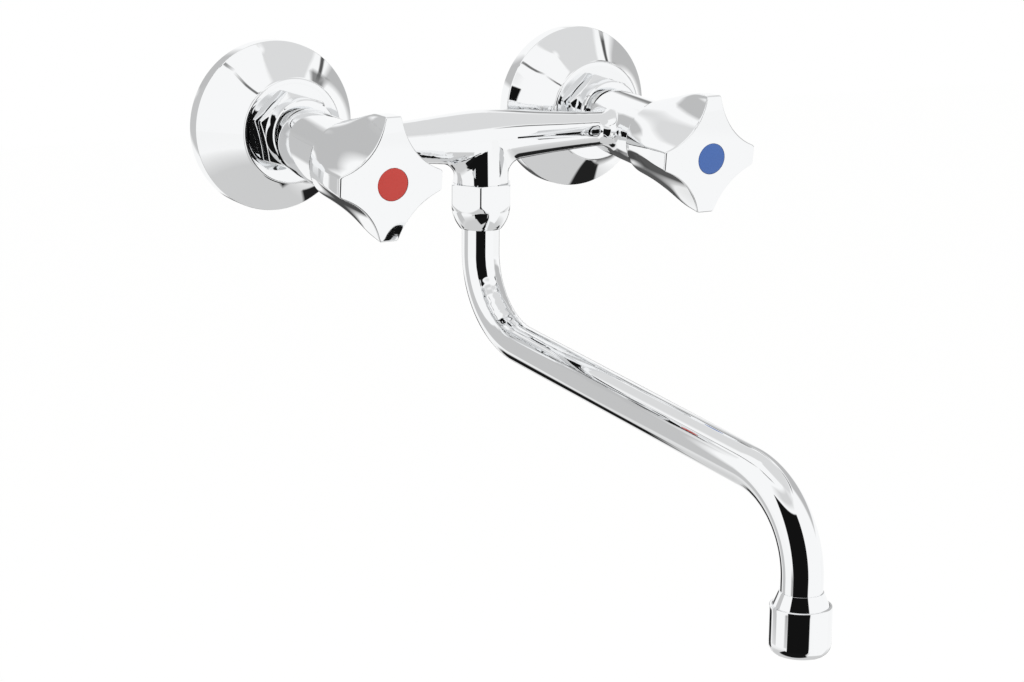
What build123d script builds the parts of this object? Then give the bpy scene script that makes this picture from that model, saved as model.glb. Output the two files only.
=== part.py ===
from build123d import *
import math
import os

# Wall-mounted two-handle kitchen mixer tap with a swivelling pipe spout.
# Millimetres. The wall is the plane Y = 0, +X is the user's right, +Z is up, and the tap
# stands out of the wall towards -Y. The origin lies midway between the two wall threads.
# "Depth" is a distance out from the wall. "Along" is a distance along a valve's own axis,
# counted from the back face of its barrel.

os.makedirs("parts", exist_ok=True)

# Wall connection
inlet_spacing = 150.0
union_offset = 6.0
wall_thread_radius = 10.48
wall_thread_length = 14.0
wall_thread_bore = 7.8
tap_thread_radius = 13.22
tap_thread_bore = 9.5
union_blend_start = 3.0
union_blend_length = 6.0
union_length = 29.5

# Rosettes
rosette_radius = 36.0
rosette_rim_depth = 7.6
rosette_depth = 24.4
rosette_face_radius = 22.2
rosette_wall = 1.4
rosette_flare_sag = 0.6
rosette_edge = 0.8
rosette_face_dish = 0.4
rosette_face_thickness = 2.0
rosette_collar_length = 5.5

# Union nuts, gaskets and inlet tails
union_nut_wall = 1.78
union_nut_turn = 13.0
union_nut_back_gap = 0.2
union_nut_hex_length = 4.6
union_nut_lip = 2.6
union_nut_collar_taper = 0.5
gasket_thickness = 1.8
tail_flange_gap = 0.32
tail_flange_thickness = 2.2
tail_neck_radius = 10.2
tail_shoulder = 0.7
tail_seat_recess = 1.5
tail_thread_length = 6.0
tail_wall = 2.9

# Body casting
barrel_back_gap = 2.85
barrel_drop = 2.9
valve_tilt = 5.5
barrel_length = 38.0
barrel_wall = 3.69
barrel_flare = 0.6
bar_setback = 12.1
bar_drop = 3.8
bar_end_radius = 7.2
bar_outer_radius = 7.9
bar_inner_radius = 9.75
bar_middle_radius = 11.5
bar_blend = 6.5
outlet_blend = 8.0
stub_wall = 1.4
stub_shoulder_width = 0.6
stub_shoulder_drop = 23.6
stub_thread_length = 9.4
stub_bore_clearance = 2.5
mixing_bore = 7.0
mixing_top_drop = 1.5
side_channel_radius = 3.6
side_channel_setback = 2.4
port_radius = 6.5

# Quarter-turn valves
seat_web = 2.0
seat_seal_thickness = 2.0
seat_seal_lap = 0.2
disc_thickness = 3.0
fixed_disc_radius = 8.4
moving_disc_step = 0.2
disc_port_inner = 2.8
disc_port_outer = 6.8
disc_port_half_angle = 38.0
sleeve_wall = 0.95
sleeve_lap = 1.2
window_width = 9.0
window_length = 4.0
valve_thread_height = 1.08
valve_thread_setback = 2.3
spindle_flange_step = 0.25
spindle_flange_thickness = 3.0
tongue_width = 3.0
tongue_height = 1.1
tongue_length = 12.0
stem_radius = 5.0
slip_washer_thickness = 0.6
stem_ring_setback = 7.8
stem_ring_wire = 0.75
valve_gasket_thickness = 0.9
valve_hex_across_flats = 22.0
valve_hex_length = 5.0
valve_neck_wall = 2.95
valve_neck_length = 2.6
circlip_thickness = 0.96
circlip_width = 1.4
circlip_groove_depth = 0.8
circlip_mouth = 3.4
spline_step = 1.0
spline_depth = 0.4
spline_teeth = 20
spline_back_gap = 0.6
spline_end_gap = 0.54

# Handles
skirt_overlap = 3.8
handle_length = 41.0
skirt_wall = 1.3
skirt_lobe_half_width = 1.4
side_lobe_rise = 6.0
low_lobe_rise = 6.8
top_lobe_rise = 9.9
lobe_root_gap = 0.25
lobe_spread = 4.2
lobe_half_width = 3.2
scoop_step = 0.8
face_crown = 1.2
lobe_rounding = 1.0
lobe_tip_turn = 72.0
lobe_tip_run = 6.0
skirt_chamfer = 0.5
skirt_clearance = 0.4
skirt_pocket_depth = 8.8
cavity_mid_step = 2.8
cavity_front_step = 1.2
cavity_taper_length = 17.0
cavity_end_length = 6.0
boss_radius = 9.0
boss_back_gap = 1.8
insert_width = 10.5
insert_length = 8.8
screw_radius = 2.5
screw_engagement = 6.5
screw_head_radius = 4.25
screw_head_height = 3.2
screw_head_gap = 3.76
screw_socket = 4.0
screw_socket_depth = 1.9
index_disc_radius = 6.55
index_disc_thickness = 1.8

# Spout
spout_swing = 5.0
spout_reach = 208.0
spout_bend_radius = 36.0
spout_run_slope = 7.5
spout_first_straight = 9.7
spout_last_straight = 4.4
tube_radius = 8.0
tube_wall = 1.0
tube_insertion = 4.1
tube_in_collar = 7.0
collar_wall = 1.55
collar_length = 16.0
collar_flange_gap = 0.6
collar_flange_thickness = 1.6
spout_ring_wire = 0.8
spout_ring_setbacks = (2.8, 6.4)
slip_ring_thickness = 1.5
slip_ring_split = 1.2

# Spout nut
spout_nut_wall = 1.4
spout_nut_lap = 0.3
spout_nut_side_length = 8.6
spout_nut_corner_rise = 3.0
spout_nut_cone_length = 4.3
spout_nut_waist_width = 2.5
spout_nut_foot_length = 3.6
spout_nut_foot_width = 0.75

# Outlet nose and aerator
nose_taper_length = 5.6
nose_thread_length = 7.5
nose_shoulder_width = 2.65
nose_edge = 0.3
nose_bore_step = 0.4
aerator_wall = 0.97
aerator_lap = 0.4
aerator_side_length = 14.8
aerator_foot_length = 3.5
aerator_foot_step = 2.25
aerator_lip_width = 1.0
aerator_inner_step = 1.28
aerator_lip_height = 1.6
aerator_seal_thickness = 1.6
jet_flange_thickness = 1.4
jet_body_step = 0.9
jet_wall = 1.2
jet_plate_thickness = 2.2
jet_hole_radius = 0.9
jet_ring_radii = (2.7, 5.4)
strainer_thickness = 0.4
strainer_rise = 2.2
strainer_hole_radius = 0.55

# Clearances
thread_gap = 0.03
press_gap = 0.02
running_gap = 0.05
face_gap = 0.02
loose_gap = 0.3
edge_chamfer = 0.5
cut_over = 1.0

# Places worked out from the sizes above
inlet_level = -union_offset
inlet_x = inlet_spacing / 2
union_blend_end = union_blend_start + union_blend_length
union_nut_across_flats = 2 * (tap_thread_radius + union_nut_wall)
tail_flange_radius = tap_thread_radius - tail_flange_gap
tail_thread_radius = tail_neck_radius - tail_shoulder
tail_bore = tail_thread_radius - tail_wall
gasket_depth = union_length
tail_flange_depth = gasket_depth + gasket_thickness
tail_neck_depth = tail_flange_depth + tail_flange_thickness
union_nut_lip_depth = tail_neck_depth + running_gap
union_nut_front = union_nut_lip_depth + union_nut_lip
union_nut_back = rosette_depth + union_nut_back_gap
union_nut_hex_end = union_nut_back + union_nut_hex_length
barrel_back_depth = union_nut_front + barrel_back_gap
tail_seat_depth = barrel_back_depth + tail_seat_recess
bar_depth = barrel_back_depth + bar_setback
bar_level = inlet_level - bar_drop

moving_disc_radius = fixed_disc_radius - moving_disc_step
spindle_flange_radius = fixed_disc_radius - spindle_flange_step
seat_seal_radius = fixed_disc_radius + seat_seal_lap
sleeve_bore = fixed_disc_radius + running_gap
sleeve_radius = sleeve_bore + sleeve_wall
valve_thread_radius = sleeve_radius + valve_thread_height
valve_neck_radius = stem_radius + running_gap + valve_neck_wall
circlip_radius = stem_radius + circlip_width
circlip_groove_radius = stem_radius - circlip_groove_depth
spline_radius = stem_radius - spline_step
barrel_back_radius = valve_thread_radius + thread_gap + barrel_wall
barrel_front_radius = barrel_back_radius + barrel_flare

seat_along = tail_seat_recess + tail_thread_length + seat_web
fixed_disc_along = seat_along + seat_seal_thickness
sleeve_start_along = fixed_disc_along - sleeve_lap
moving_disc_along = fixed_disc_along + disc_thickness + face_gap
spindle_flange_along = moving_disc_along + disc_thickness + face_gap
slip_washer_along = spindle_flange_along + spindle_flange_thickness + face_gap
sleeve_floor_along = slip_washer_along + slip_washer_thickness + face_gap
valve_thread_start = sleeve_floor_along + valve_thread_setback
stem_ring_along = sleeve_floor_along + stem_ring_setback
valve_gasket_along = barrel_length + face_gap
valve_hex_along = valve_gasket_along + valve_gasket_thickness + face_gap
valve_neck_along = valve_hex_along + valve_hex_length
valve_end_along = valve_neck_along + valve_neck_length
circlip_along = valve_end_along + 10 * face_gap
spline_along = circlip_along + circlip_thickness + spline_back_gap

handle_back_along = barrel_length - skirt_overlap
handle_face_along = handle_back_along + handle_length
handle_bore_radius = barrel_front_radius + skirt_clearance
skirt_radius = handle_bore_radius + skirt_wall
scoop_radius = skirt_radius - scoop_step
side_lobe_radius = skirt_radius + side_lobe_rise
low_lobe_radius = skirt_radius + low_lobe_rise
top_lobe_radius = skirt_radius + top_lobe_rise
cavity_mid_radius = handle_bore_radius - cavity_mid_step
cavity_front_radius = cavity_mid_radius - cavity_front_step
boss_along = valve_end_along + boss_back_gap
insert_along = boss_along + loose_gap
insert_end_along = insert_along + insert_length
spindle_end_along = insert_end_along - spline_end_gap
spline_length = spindle_end_along - spline_along
index_disc_along = handle_face_along - index_disc_thickness
screw_seat_along = index_disc_along - screw_head_gap - screw_head_height
screw_web = screw_seat_along - insert_end_along
screw_length = screw_seat_along - spindle_end_along + screw_engagement

collar_radius = tube_radius + collar_wall
collar_bore = tube_radius - tube_wall - thread_gap
stub_bore = collar_radius + running_gap
stub_thread_radius = stub_bore + stub_wall
stub_radius = stub_thread_radius + stub_shoulder_width
collar_flange_radius = stub_thread_radius - collar_flange_gap
stub_end_drop = stub_shoulder_drop + stub_thread_length
collar_top_drop = stub_end_drop - collar_length
tube_top_drop = stub_end_drop - tube_in_collar
stub_bore_top_drop = collar_top_drop - stub_bore_clearance
spout_ring_drops = [collar_top_drop + setback for setback in spout_ring_setbacks]
collar_flange_drop = stub_end_drop + loose_gap
slip_ring_drop = collar_flange_drop + collar_flange_thickness + face_gap
spout_nut_floor_drop = slip_ring_drop + slip_ring_thickness + face_gap
spout_nut_across_flats = 2 * (stub_thread_radius + spout_nut_wall)
spout_nut_top_drop = stub_shoulder_drop - spout_nut_lap
spout_nut_corner_drop = spout_nut_top_drop + spout_nut_side_length
spout_nut_flat_drop = spout_nut_corner_drop + spout_nut_corner_rise
spout_nut_waist_drop = spout_nut_flat_drop + spout_nut_cone_length
spout_nut_waist_radius = tube_radius + spout_nut_waist_width
spout_nut_bottom_drop = spout_nut_waist_drop + spout_nut_foot_length
spout_nut_bottom_radius = tube_radius + spout_nut_foot_width

swing = math.radians(spout_swing)
swing_direction = Vector(math.sin(swing), -math.cos(swing), 0)
swing_side = Vector(math.cos(swing), math.sin(swing), 0)
spout_top = Vector(0, -bar_depth, inlet_level)
outlet_top = spout_top + swing_direction * spout_reach

# The spout's line in its own plane, as distance out and drop: both bends have one radius,
# and the run's length follows from the reach.
spout_first_bend_drop = spout_nut_bottom_drop + spout_first_straight
bend_turn = math.radians(90 - spout_run_slope)
slope = math.radians(spout_run_slope)
bend_across = spout_bend_radius * (1 - math.cos(bend_turn))
bend_down = spout_bend_radius * math.sin(bend_turn)
run_across = spout_reach - 2 * bend_across
run_down = run_across * math.tan(slope)
first_bend_end = (bend_across, spout_first_bend_drop + bend_down)
run_end = (bend_across + run_across, first_bend_end[1] + run_down)
second_bend_end = (spout_reach, run_end[1] + bend_down)
half_turn = bend_turn / 2
first_bend_middle = (
    spout_bend_radius * (1 - math.cos(half_turn)),
    spout_first_bend_drop + spout_bend_radius * math.sin(half_turn),
)
second_bend_middle = (
    spout_reach - spout_bend_radius * (1 - math.cos(half_turn)),
    second_bend_end[1] - spout_bend_radius * math.sin(half_turn),
)

nose_top_drop = second_bend_end[1] + spout_last_straight
tube_end_drop = nose_top_drop + tube_insertion
nose_shoulder_drop = nose_top_drop + nose_taper_length
nose_end_drop = nose_shoulder_drop + nose_thread_length
nose_thread_radius = tube_radius + nose_shoulder_width
nose_bore = tube_radius + nose_bore_step
aerator_thread = nose_thread_radius + thread_gap
aerator_radius = aerator_thread + aerator_wall
aerator_top_drop = nose_shoulder_drop - aerator_lap
aerator_taper_drop = aerator_top_drop + aerator_side_length
aerator_bottom_drop = aerator_taper_drop + aerator_foot_length
aerator_bottom_radius = aerator_radius - aerator_foot_step
aerator_lip_radius = aerator_bottom_radius - aerator_lip_width
aerator_inner_radius = aerator_thread - aerator_inner_step
jet_body_radius = aerator_inner_radius - jet_body_step

tilt = math.radians(valve_tilt)
valve_direction = Vector(0, -math.cos(tilt), -math.sin(tilt))
down = Vector(0, 0, -1)


def outline(plane, points):
    """A flat face with straight edges through the points."""
    with BuildSketch(plane) as face:
        with BuildLine():
            Polyline(*points, close=True)
        make_face()
    return face.sketch


def band(inner, outer, start, end):
    """The section of a plain ring, as radius and distance along its axis."""
    return [(inner, start), (outer, start), (outer, end), (inner, end)]


def sector(plane, inner, outer, half_angle, angle):
    """A slice of a ring about the plane's origin, centred on an angle in degrees."""
    low = math.radians(angle - half_angle)
    mid = math.radians(angle)
    high = math.radians(angle + half_angle)

    def at(radius, turn):
        return (radius * math.cos(turn), radius * math.sin(turn))

    with BuildSketch(plane) as face:
        with BuildLine():
            ThreePointArc(at(outer, low), at(outer, mid), at(outer, high))
            Line(at(outer, high), at(inner, high))
            ThreePointArc(at(inner, high), at(inner, mid), at(inner, low))
            Line(at(inner, low), at(outer, low))
        make_face()
    return face.sketch


def spline_outline(plane, tip, root, teeth):
    """A fine-toothed round outline, one point on each tip and one in each root."""
    step = 2 * math.pi / teeth
    points = []
    for tooth in range(teeth):
        for radius, turn in ((tip, tooth * step), (root, (tooth + 0.5) * step)):
            points.append((radius * math.cos(turn), radius * math.sin(turn)))
    return outline(plane, points)


def hex_prism_points(across_flats):
    """The radius of a hexagon's corners."""
    return across_flats / math.sqrt(3)


def save(built, name):
    """Label a finished piece and write its file."""
    built.part.label = name
    export_step(built.part, f"parts/{name}.step")


def inlet_frame(side):
    """Profile plane (radius, depth), plane on the wall and axis of one inlet."""
    origin = Vector(side * inlet_x, 0, inlet_level)
    profile = Plane(origin=origin, x_dir=(1, 0, 0), z_dir=(0, 0, -1))
    face = Plane(origin=origin, x_dir=(1, 0, 0), z_dir=(0, -1, 0))
    return profile, face, Axis(origin, (0, -1, 0))


def valve_frame(side):
    """Profile plane (radius, along), plane on the barrel's back and axis of one valve."""
    origin = Vector(side * inlet_x, -barrel_back_depth, inlet_level - barrel_drop)
    across = Vector(0, math.sin(tilt), -math.cos(tilt))
    profile = Plane(origin=origin, x_dir=(1, 0, 0), z_dir=across)
    face = Plane(origin=origin, x_dir=(1, 0, 0), z_dir=valve_direction)
    return profile, face, Axis(origin, valve_direction)


sides = (("hot", -1), ("cold", 1))

# Body: two barrels, a bar that swells to the middle, and a threaded outlet stub.
bar_start = Vector(0, -bar_depth, bar_level)
bar_profile = Plane(origin=bar_start, x_dir=(1, 0, 0), z_dir=(0, -1, 0))
bar_outer_x = 2 * inlet_x / 3
bar_inner_x = inlet_x / 3
stub_plane = Plane(origin=spout_top, x_dir=(1, 0, 0), z_dir=down)

with BuildPart() as body:
    for name, side in sides:
        profile, face, axis = valve_frame(side)
        with BuildSketch(face) as barrel_back:
            Circle(barrel_back_radius)
        with BuildSketch(face.offset(barrel_length)) as barrel_front:
            Circle(barrel_front_radius)
        loft()
        with BuildSketch(profile) as front_edge:
            with BuildLine():
                Polyline(
                    (barrel_front_radius - edge_chamfer, barrel_length),
                    (barrel_front_radius + cut_over, barrel_length),
                    (barrel_front_radius + cut_over, barrel_length - edge_chamfer - cut_over),
                    close=True,
                )
            make_face()
        revolve(axis=axis, mode=Mode.SUBTRACT)
    with BuildSketch(bar_profile) as bar_half:
        with BuildLine():
            Line((-inlet_x, 0), (-inlet_x, bar_end_radius))
            Spline(
                (-inlet_x, bar_end_radius),
                (-bar_outer_x, bar_outer_radius),
                (-bar_inner_x, bar_inner_radius),
                (0, bar_middle_radius),
                (bar_inner_x, bar_inner_radius),
                (bar_outer_x, bar_outer_radius),
                (inlet_x, bar_end_radius),
                tangents=((1, 0), (1, 0)),
            )
            Line((inlet_x, bar_end_radius), (inlet_x, 0))
            Line((inlet_x, 0), (-inlet_x, 0))
        make_face()
    revolve(axis=Axis(bar_start, (1, 0, 0)))
    with BuildSketch(stub_plane.offset(bar_drop)) as stub_round:
        Circle(stub_radius)
    extrude(amount=stub_shoulder_drop - bar_drop)
    blended = [
        edge
        for edge in body.edges()
        if edge.geom_type not in (GeomType.CIRCLE, GeomType.LINE)
        and edge.length > stub_radius
        and abs(edge.center().Z - bar_level) < bar_middle_radius
    ]
    joints_to_barrels = [e for e in blended if abs(e.center().X) > inlet_x / 2]
    joints_to_stub = [
        e
        for e in blended
        if abs(e.center().X) < inlet_x / 4 and e.center().Z < bar_level - bar_middle_radius / 2
    ]
    fillet(joints_to_barrels, radius=bar_blend)
    fillet(joints_to_stub, radius=outlet_blend)
    with BuildSketch(stub_plane.offset(stub_shoulder_drop)) as stub_thread:
        Circle(stub_thread_radius)
    extrude(amount=stub_end_drop - stub_shoulder_drop)

    # Waterways
    for name, side in sides:
        inlet_profile, inlet_face, inlet_axis = inlet_frame(side)
        profile, face, axis = valve_frame(side)
        with BuildSketch(inlet_face.offset(barrel_back_depth - barrel_drop)) as spot_face:
            Circle(tail_neck_radius + running_gap)
        extrude(amount=tail_seat_recess + barrel_drop, mode=Mode.SUBTRACT)
        with BuildSketch(inlet_face.offset(tail_seat_depth)) as inlet_thread:
            Circle(tail_thread_radius + thread_gap)
        extrude(amount=tail_thread_length + loose_gap, mode=Mode.SUBTRACT)
        with BuildSketch(face.offset(seat_along / 2)) as port:
            Circle(port_radius)
        extrude(amount=seat_along / 2 + edge_chamfer, mode=Mode.SUBTRACT)
        with BuildSketch(face.offset(seat_along)) as valve_bore:
            Circle(valve_thread_radius + thread_gap)
        extrude(amount=barrel_length, mode=Mode.SUBTRACT)
        side_channel_along = bar_setback / math.cos(tilt) + side_channel_setback
        channel_start = face.origin + valve_direction * side_channel_along
        channel_plane = Plane(origin=channel_start, x_dir=(0, 1, 0), z_dir=(-side, 0, 0))
        with BuildSketch(channel_plane) as side_channel:
            Circle(side_channel_radius)
        extrude(amount=inlet_x, mode=Mode.SUBTRACT)
    with BuildSketch(stub_plane.offset(mixing_top_drop)) as mixing:
        Circle(mixing_bore)
    extrude(amount=stub_bore_top_drop - mixing_top_drop, mode=Mode.SUBTRACT)
    with BuildSketch(stub_plane.offset(stub_bore_top_drop)) as spout_socket:
        Circle(stub_bore)
    extrude(amount=stub_end_drop - stub_bore_top_drop, mode=Mode.SUBTRACT)
save(body, "body")

for name, side in sides:
    inlet_profile, inlet_face, inlet_axis = inlet_frame(side)
    profile, face, axis = valve_frame(side)
    wall_face = Plane(origin=(side * inlet_x, 0, 0), x_dir=(1, 0, 0), z_dir=(0, -1, 0))

    # Eccentric union between the wall fitting and the tap
    with BuildPart() as s_union:
        with BuildSketch(wall_face.offset(-wall_thread_length)):
            Circle(wall_thread_radius)
        extrude(amount=wall_thread_length + union_blend_start)
        with BuildSketch(wall_face.offset(union_blend_start)):
            Circle(wall_thread_radius)
        with BuildSketch(inlet_face.offset(union_blend_end)):
            Circle(tap_thread_radius)
        loft()
        with BuildSketch(inlet_face.offset(union_blend_end)):
            Circle(tap_thread_radius)
        extrude(amount=union_length - union_blend_end)
        union_bore_meet = (union_blend_start + union_blend_end) / 2
        with BuildSketch(wall_face.offset(-wall_thread_length)):
            Circle(wall_thread_bore)
        extrude(amount=wall_thread_length + union_bore_meet, mode=Mode.SUBTRACT)
        with BuildSketch(inlet_face.offset(union_bore_meet)):
            Circle(tap_thread_bore)
        extrude(amount=union_length - union_bore_meet, mode=Mode.SUBTRACT)
    save(s_union, f"s_union_{name}")

    # Rosette: rim band, flare and a flat face with a threaded collar behind it
    flare_base = rosette_radius - rosette_wall
    flare_depth = rosette_depth - rosette_edge
    face_edge = rosette_face_radius - rosette_edge
    mid_radius = (flare_base + rosette_face_radius) / 2
    mid_depth = (rosette_rim_depth + flare_depth) / 2
    collar_bore_radius = tap_thread_radius + thread_gap
    collar_outside = tap_thread_radius + 2 * rosette_wall
    plate_back = rosette_depth - rosette_face_thickness
    with BuildPart() as rosette:
        with BuildSketch(inlet_profile):
            with BuildLine():
                Line((rosette_radius, 0), (rosette_radius, rosette_rim_depth - rosette_wall))
                ThreePointArc(
                    (rosette_radius, rosette_rim_depth - rosette_wall),
                    (rosette_radius - 0.3 * rosette_wall, rosette_rim_depth - 0.3 * rosette_wall),
                    (flare_base, rosette_rim_depth),
                )
                ThreePointArc(
                    (flare_base, rosette_rim_depth),
                    (mid_radius - rosette_flare_sag, mid_depth - rosette_flare_sag),
                    (rosette_face_radius, flare_depth),
                )
                ThreePointArc(
                    (rosette_face_radius, flare_depth),
                    (face_edge + 0.7 * rosette_edge, flare_depth + 0.7 * rosette_edge),
                    (face_edge, rosette_depth),
                )
                Polyline(
                    (face_edge, rosette_depth),
                    (collar_bore_radius, rosette_depth - rosette_face_dish),
                    (collar_bore_radius, rosette_depth - rosette_collar_length),
                    (collar_outside, rosette_depth - rosette_collar_length),
                    (collar_outside, plate_back - rosette_face_dish),
                    (face_edge - rosette_wall / 2, plate_back),
                )
                ThreePointArc(
                    (face_edge - rosette_wall / 2, plate_back),
                    (
                        mid_radius - rosette_flare_sag - rosette_wall,
                        mid_depth - rosette_flare_sag - rosette_wall,
                    ),
                    (flare_base - rosette_wall / 2, rosette_rim_depth - rosette_wall),
                )
                Polyline(
                    (flare_base - rosette_wall / 2, rosette_rim_depth - rosette_wall),
                    (flare_base, rosette_rim_depth - 2 * rosette_wall),
                    (flare_base, 0),
                    (rosette_radius, 0),
                )
            make_face()
        revolve(axis=inlet_axis)
    save(rosette, f"rosette_{name}")

    # Union nut: a short chamfered hexagon, then a round collar whose lip pulls on the tail
    nut_corner = hex_prism_points(union_nut_across_flats)
    nut_flat = union_nut_across_flats / 2
    nut_edge = (nut_corner - nut_flat) * math.tan(math.radians(30))
    nut_outside = nut_corner + edge_chamfer
    back_slope = nut_edge / (nut_corner - nut_flat)
    front_slope = nut_edge / (nut_corner - nut_flat + union_nut_collar_taper / 2)
    with BuildPart() as union_nut:
        with BuildSketch(inlet_face.offset(union_nut_back)):
            RegularPolygon(nut_corner, 6, rotation=30 + union_nut_turn)
        extrude(amount=union_nut_front - union_nut_back)
        turned = [
            (0, union_nut_back),
            (nut_flat - thread_gap, union_nut_back),
            (nut_outside, union_nut_back + nut_edge + edge_chamfer * back_slope),
            (nut_outside, union_nut_hex_end - nut_edge - edge_chamfer * front_slope),
            (nut_flat - union_nut_collar_taper / 2, union_nut_hex_end),
            (nut_flat - union_nut_collar_taper, union_nut_front - edge_chamfer),
            (nut_flat - union_nut_collar_taper - edge_chamfer, union_nut_front),
            (0, union_nut_front),
        ]
        revolve(outline(inlet_profile, turned), axis=inlet_axis, mode=Mode.INTERSECT)
        with BuildSketch(inlet_face.offset(union_nut_back)):
            Circle(tap_thread_radius + thread_gap)
        extrude(amount=union_nut_lip_depth - union_nut_back, mode=Mode.SUBTRACT)
        with BuildSketch(inlet_face.offset(union_nut_lip_depth)):
            Circle(tail_neck_radius + loose_gap)
        extrude(amount=union_nut_lip, mode=Mode.SUBTRACT)
    save(union_nut, f"union_nut_{name}")

    with BuildPart() as inlet_gasket:
        ring = band(tap_thread_bore, tail_flange_radius, gasket_depth, tail_flange_depth)
        revolve(outline(inlet_profile, ring), axis=inlet_axis)
    save(inlet_gasket, f"inlet_gasket_{name}")

    tail_end = tail_seat_depth + tail_thread_length
    with BuildPart() as inlet_tail:
        turned = [
            (tail_bore, tail_flange_depth),
            (tail_flange_radius, tail_flange_depth),
            (tail_flange_radius, tail_neck_depth),
            (tail_neck_radius, tail_neck_depth),
            (tail_neck_radius, tail_seat_depth),
            (tail_thread_radius, tail_seat_depth),
            (tail_thread_radius, tail_end),
            (tail_bore, tail_end),
        ]
        revolve(outline(inlet_profile, turned), axis=inlet_axis)
    save(inlet_tail, f"inlet_tail_{name}")

    # Valve: seal, two ceramic discs, spindle, washer, rings and housing
    with BuildPart() as seat_seal:
        ring = band(port_radius, seat_seal_radius - loose_gap, seat_along, fixed_disc_along)
        revolve(outline(profile, ring), axis=axis)
    save(seat_seal, f"seat_seal_{name}")

    with BuildPart() as fixed_disc:
        with BuildSketch(face.offset(fixed_disc_along)):
            Circle(fixed_disc_radius)
        extrude(amount=disc_thickness)
        for turn in (0, 180):
            port_shape = sector(
                face.offset(fixed_disc_along),
                disc_port_inner,
                disc_port_outer,
                disc_port_half_angle,
                turn,
            )
            extrude(port_shape, amount=disc_thickness, mode=Mode.SUBTRACT)
    save(fixed_disc, f"fixed_disc_{name}")

    # Shut at rest: its notches stand a quarter turn away from the fixed disc's ports.
    tongue_slot = tongue_width + 2 * running_gap
    with BuildPart() as moving_disc:
        with BuildSketch(face.offset(moving_disc_along)):
            Circle(moving_disc_radius)
        extrude(amount=disc_thickness)
        for turn in (90, 270):
            notch = sector(
                face.offset(moving_disc_along),
                disc_port_inner,
                moving_disc_radius + cut_over,
                disc_port_half_angle,
                turn,
            )
            extrude(notch, amount=disc_thickness - tongue_height, mode=Mode.SUBTRACT)
        with BuildSketch(face.offset(moving_disc_along + disc_thickness)):
            Rectangle(tongue_length + 2 * running_gap, tongue_slot)
        extrude(amount=-(tongue_height + face_gap), mode=Mode.SUBTRACT)
    save(moving_disc, f"moving_disc_{name}")

    ring_groove = stem_radius - 2 * stem_ring_wire
    with BuildPart() as spindle:
        turned = [
            (0, spindle_flange_along),
            (spindle_flange_radius, spindle_flange_along),
            (spindle_flange_radius, spindle_flange_along + spindle_flange_thickness),
            (stem_radius, spindle_flange_along + spindle_flange_thickness),
            (stem_radius, stem_ring_along - stem_ring_wire - running_gap),
            (ring_groove, stem_ring_along - stem_ring_wire - running_gap),
            (ring_groove, stem_ring_along + stem_ring_wire + running_gap),
            (stem_radius, stem_ring_along + stem_ring_wire + running_gap),
            (stem_radius, circlip_along - face_gap),
            (circlip_groove_radius, circlip_along - face_gap),
            (circlip_groove_radius, circlip_along + circlip_thickness + face_gap),
            (stem_radius, circlip_along + circlip_thickness + face_gap),
            (stem_radius, spline_along),
            (0, spline_along),
        ]
        revolve(outline(profile, turned), axis=axis)
        with BuildSketch(face.offset(spindle_flange_along)):
            Rectangle(tongue_length, tongue_width)
        extrude(amount=-tongue_height)
        teeth = spline_outline(
            face.offset(spline_along), spline_radius, spline_radius - spline_depth, spline_teeth
        )
        extrude(teeth, amount=spline_length)
        with BuildSketch(face.offset(spindle_end_along)):
            Circle(screw_radius + thread_gap)
        extrude(amount=-(spline_length - spline_back_gap), mode=Mode.SUBTRACT)
    save(spindle, f"spindle_{name}")

    with BuildPart() as slip_washer:
        ring = band(
            stem_radius + running_gap,
            spindle_flange_radius,
            slip_washer_along,
            slip_washer_along + slip_washer_thickness,
        )
        revolve(outline(profile, ring), axis=axis)
    save(slip_washer, f"slip_washer_{name}")

    with BuildPart() as stem_ring:
        with BuildSketch(profile):
            with Locations((stem_radius - stem_ring_wire + press_gap, stem_ring_along)):
                Circle(stem_ring_wire)
        revolve(axis=axis)
    save(stem_ring, f"stem_ring_{name}")

    thread_end_along = barrel_length - edge_chamfer
    with BuildPart() as valve_housing:
        turned = [
            (sleeve_bore, sleeve_start_along),
            (sleeve_radius, sleeve_start_along),
            (sleeve_radius, valve_thread_start),
            (valve_thread_radius, valve_thread_start),
            (valve_thread_radius, thread_end_along),
            (sleeve_radius, thread_end_along),
            (sleeve_radius, valve_neck_along),
            (valve_neck_radius, valve_neck_along),
            (valve_neck_radius, valve_end_along),
            (stem_radius + running_gap, valve_end_along),
            (stem_radius + running_gap, sleeve_floor_along),
            (sleeve_bore, sleeve_floor_along),
        ]
        revolve(outline(profile, turned), axis=axis)
        hex_sketch_plane = face.offset(valve_hex_along)
        with BuildSketch(hex_sketch_plane):
            RegularPolygon(hex_prism_points(valve_hex_across_flats), 6, rotation=30)
            Circle(sleeve_radius - cut_over, mode=Mode.SUBTRACT)
        extrude(amount=valve_hex_length)
        window_plane = Plane(
            origin=face.origin + valve_direction * (moving_disc_along + disc_thickness / 2),
            x_dir=valve_direction,
            z_dir=(1, 0, 0),
        )
        with BuildSketch(window_plane):
            Rectangle(window_length, window_width)
        extrude(amount=sleeve_radius + cut_over, both=True, mode=Mode.SUBTRACT)
    save(valve_housing, f"valve_housing_{name}")

    with BuildPart() as valve_gasket:
        ring = band(
            valve_thread_radius + thread_gap,
            valve_hex_across_flats / 2 + edge_chamfer,
            valve_gasket_along,
            valve_gasket_along + valve_gasket_thickness,
        )
        revolve(outline(profile, ring), axis=axis)
    save(valve_gasket, f"valve_gasket_{name}")

    with BuildPart() as circlip:
        with BuildSketch(face.offset(circlip_along)):
            Circle(circlip_radius)
            Circle(circlip_groove_radius + press_gap, mode=Mode.SUBTRACT)
            with Locations((0, circlip_radius)):
                Rectangle(circlip_mouth, 2 * circlip_radius, mode=Mode.SUBTRACT)
        extrude(amount=circlip_thickness)
    save(circlip, f"circlip_{name}")

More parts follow.
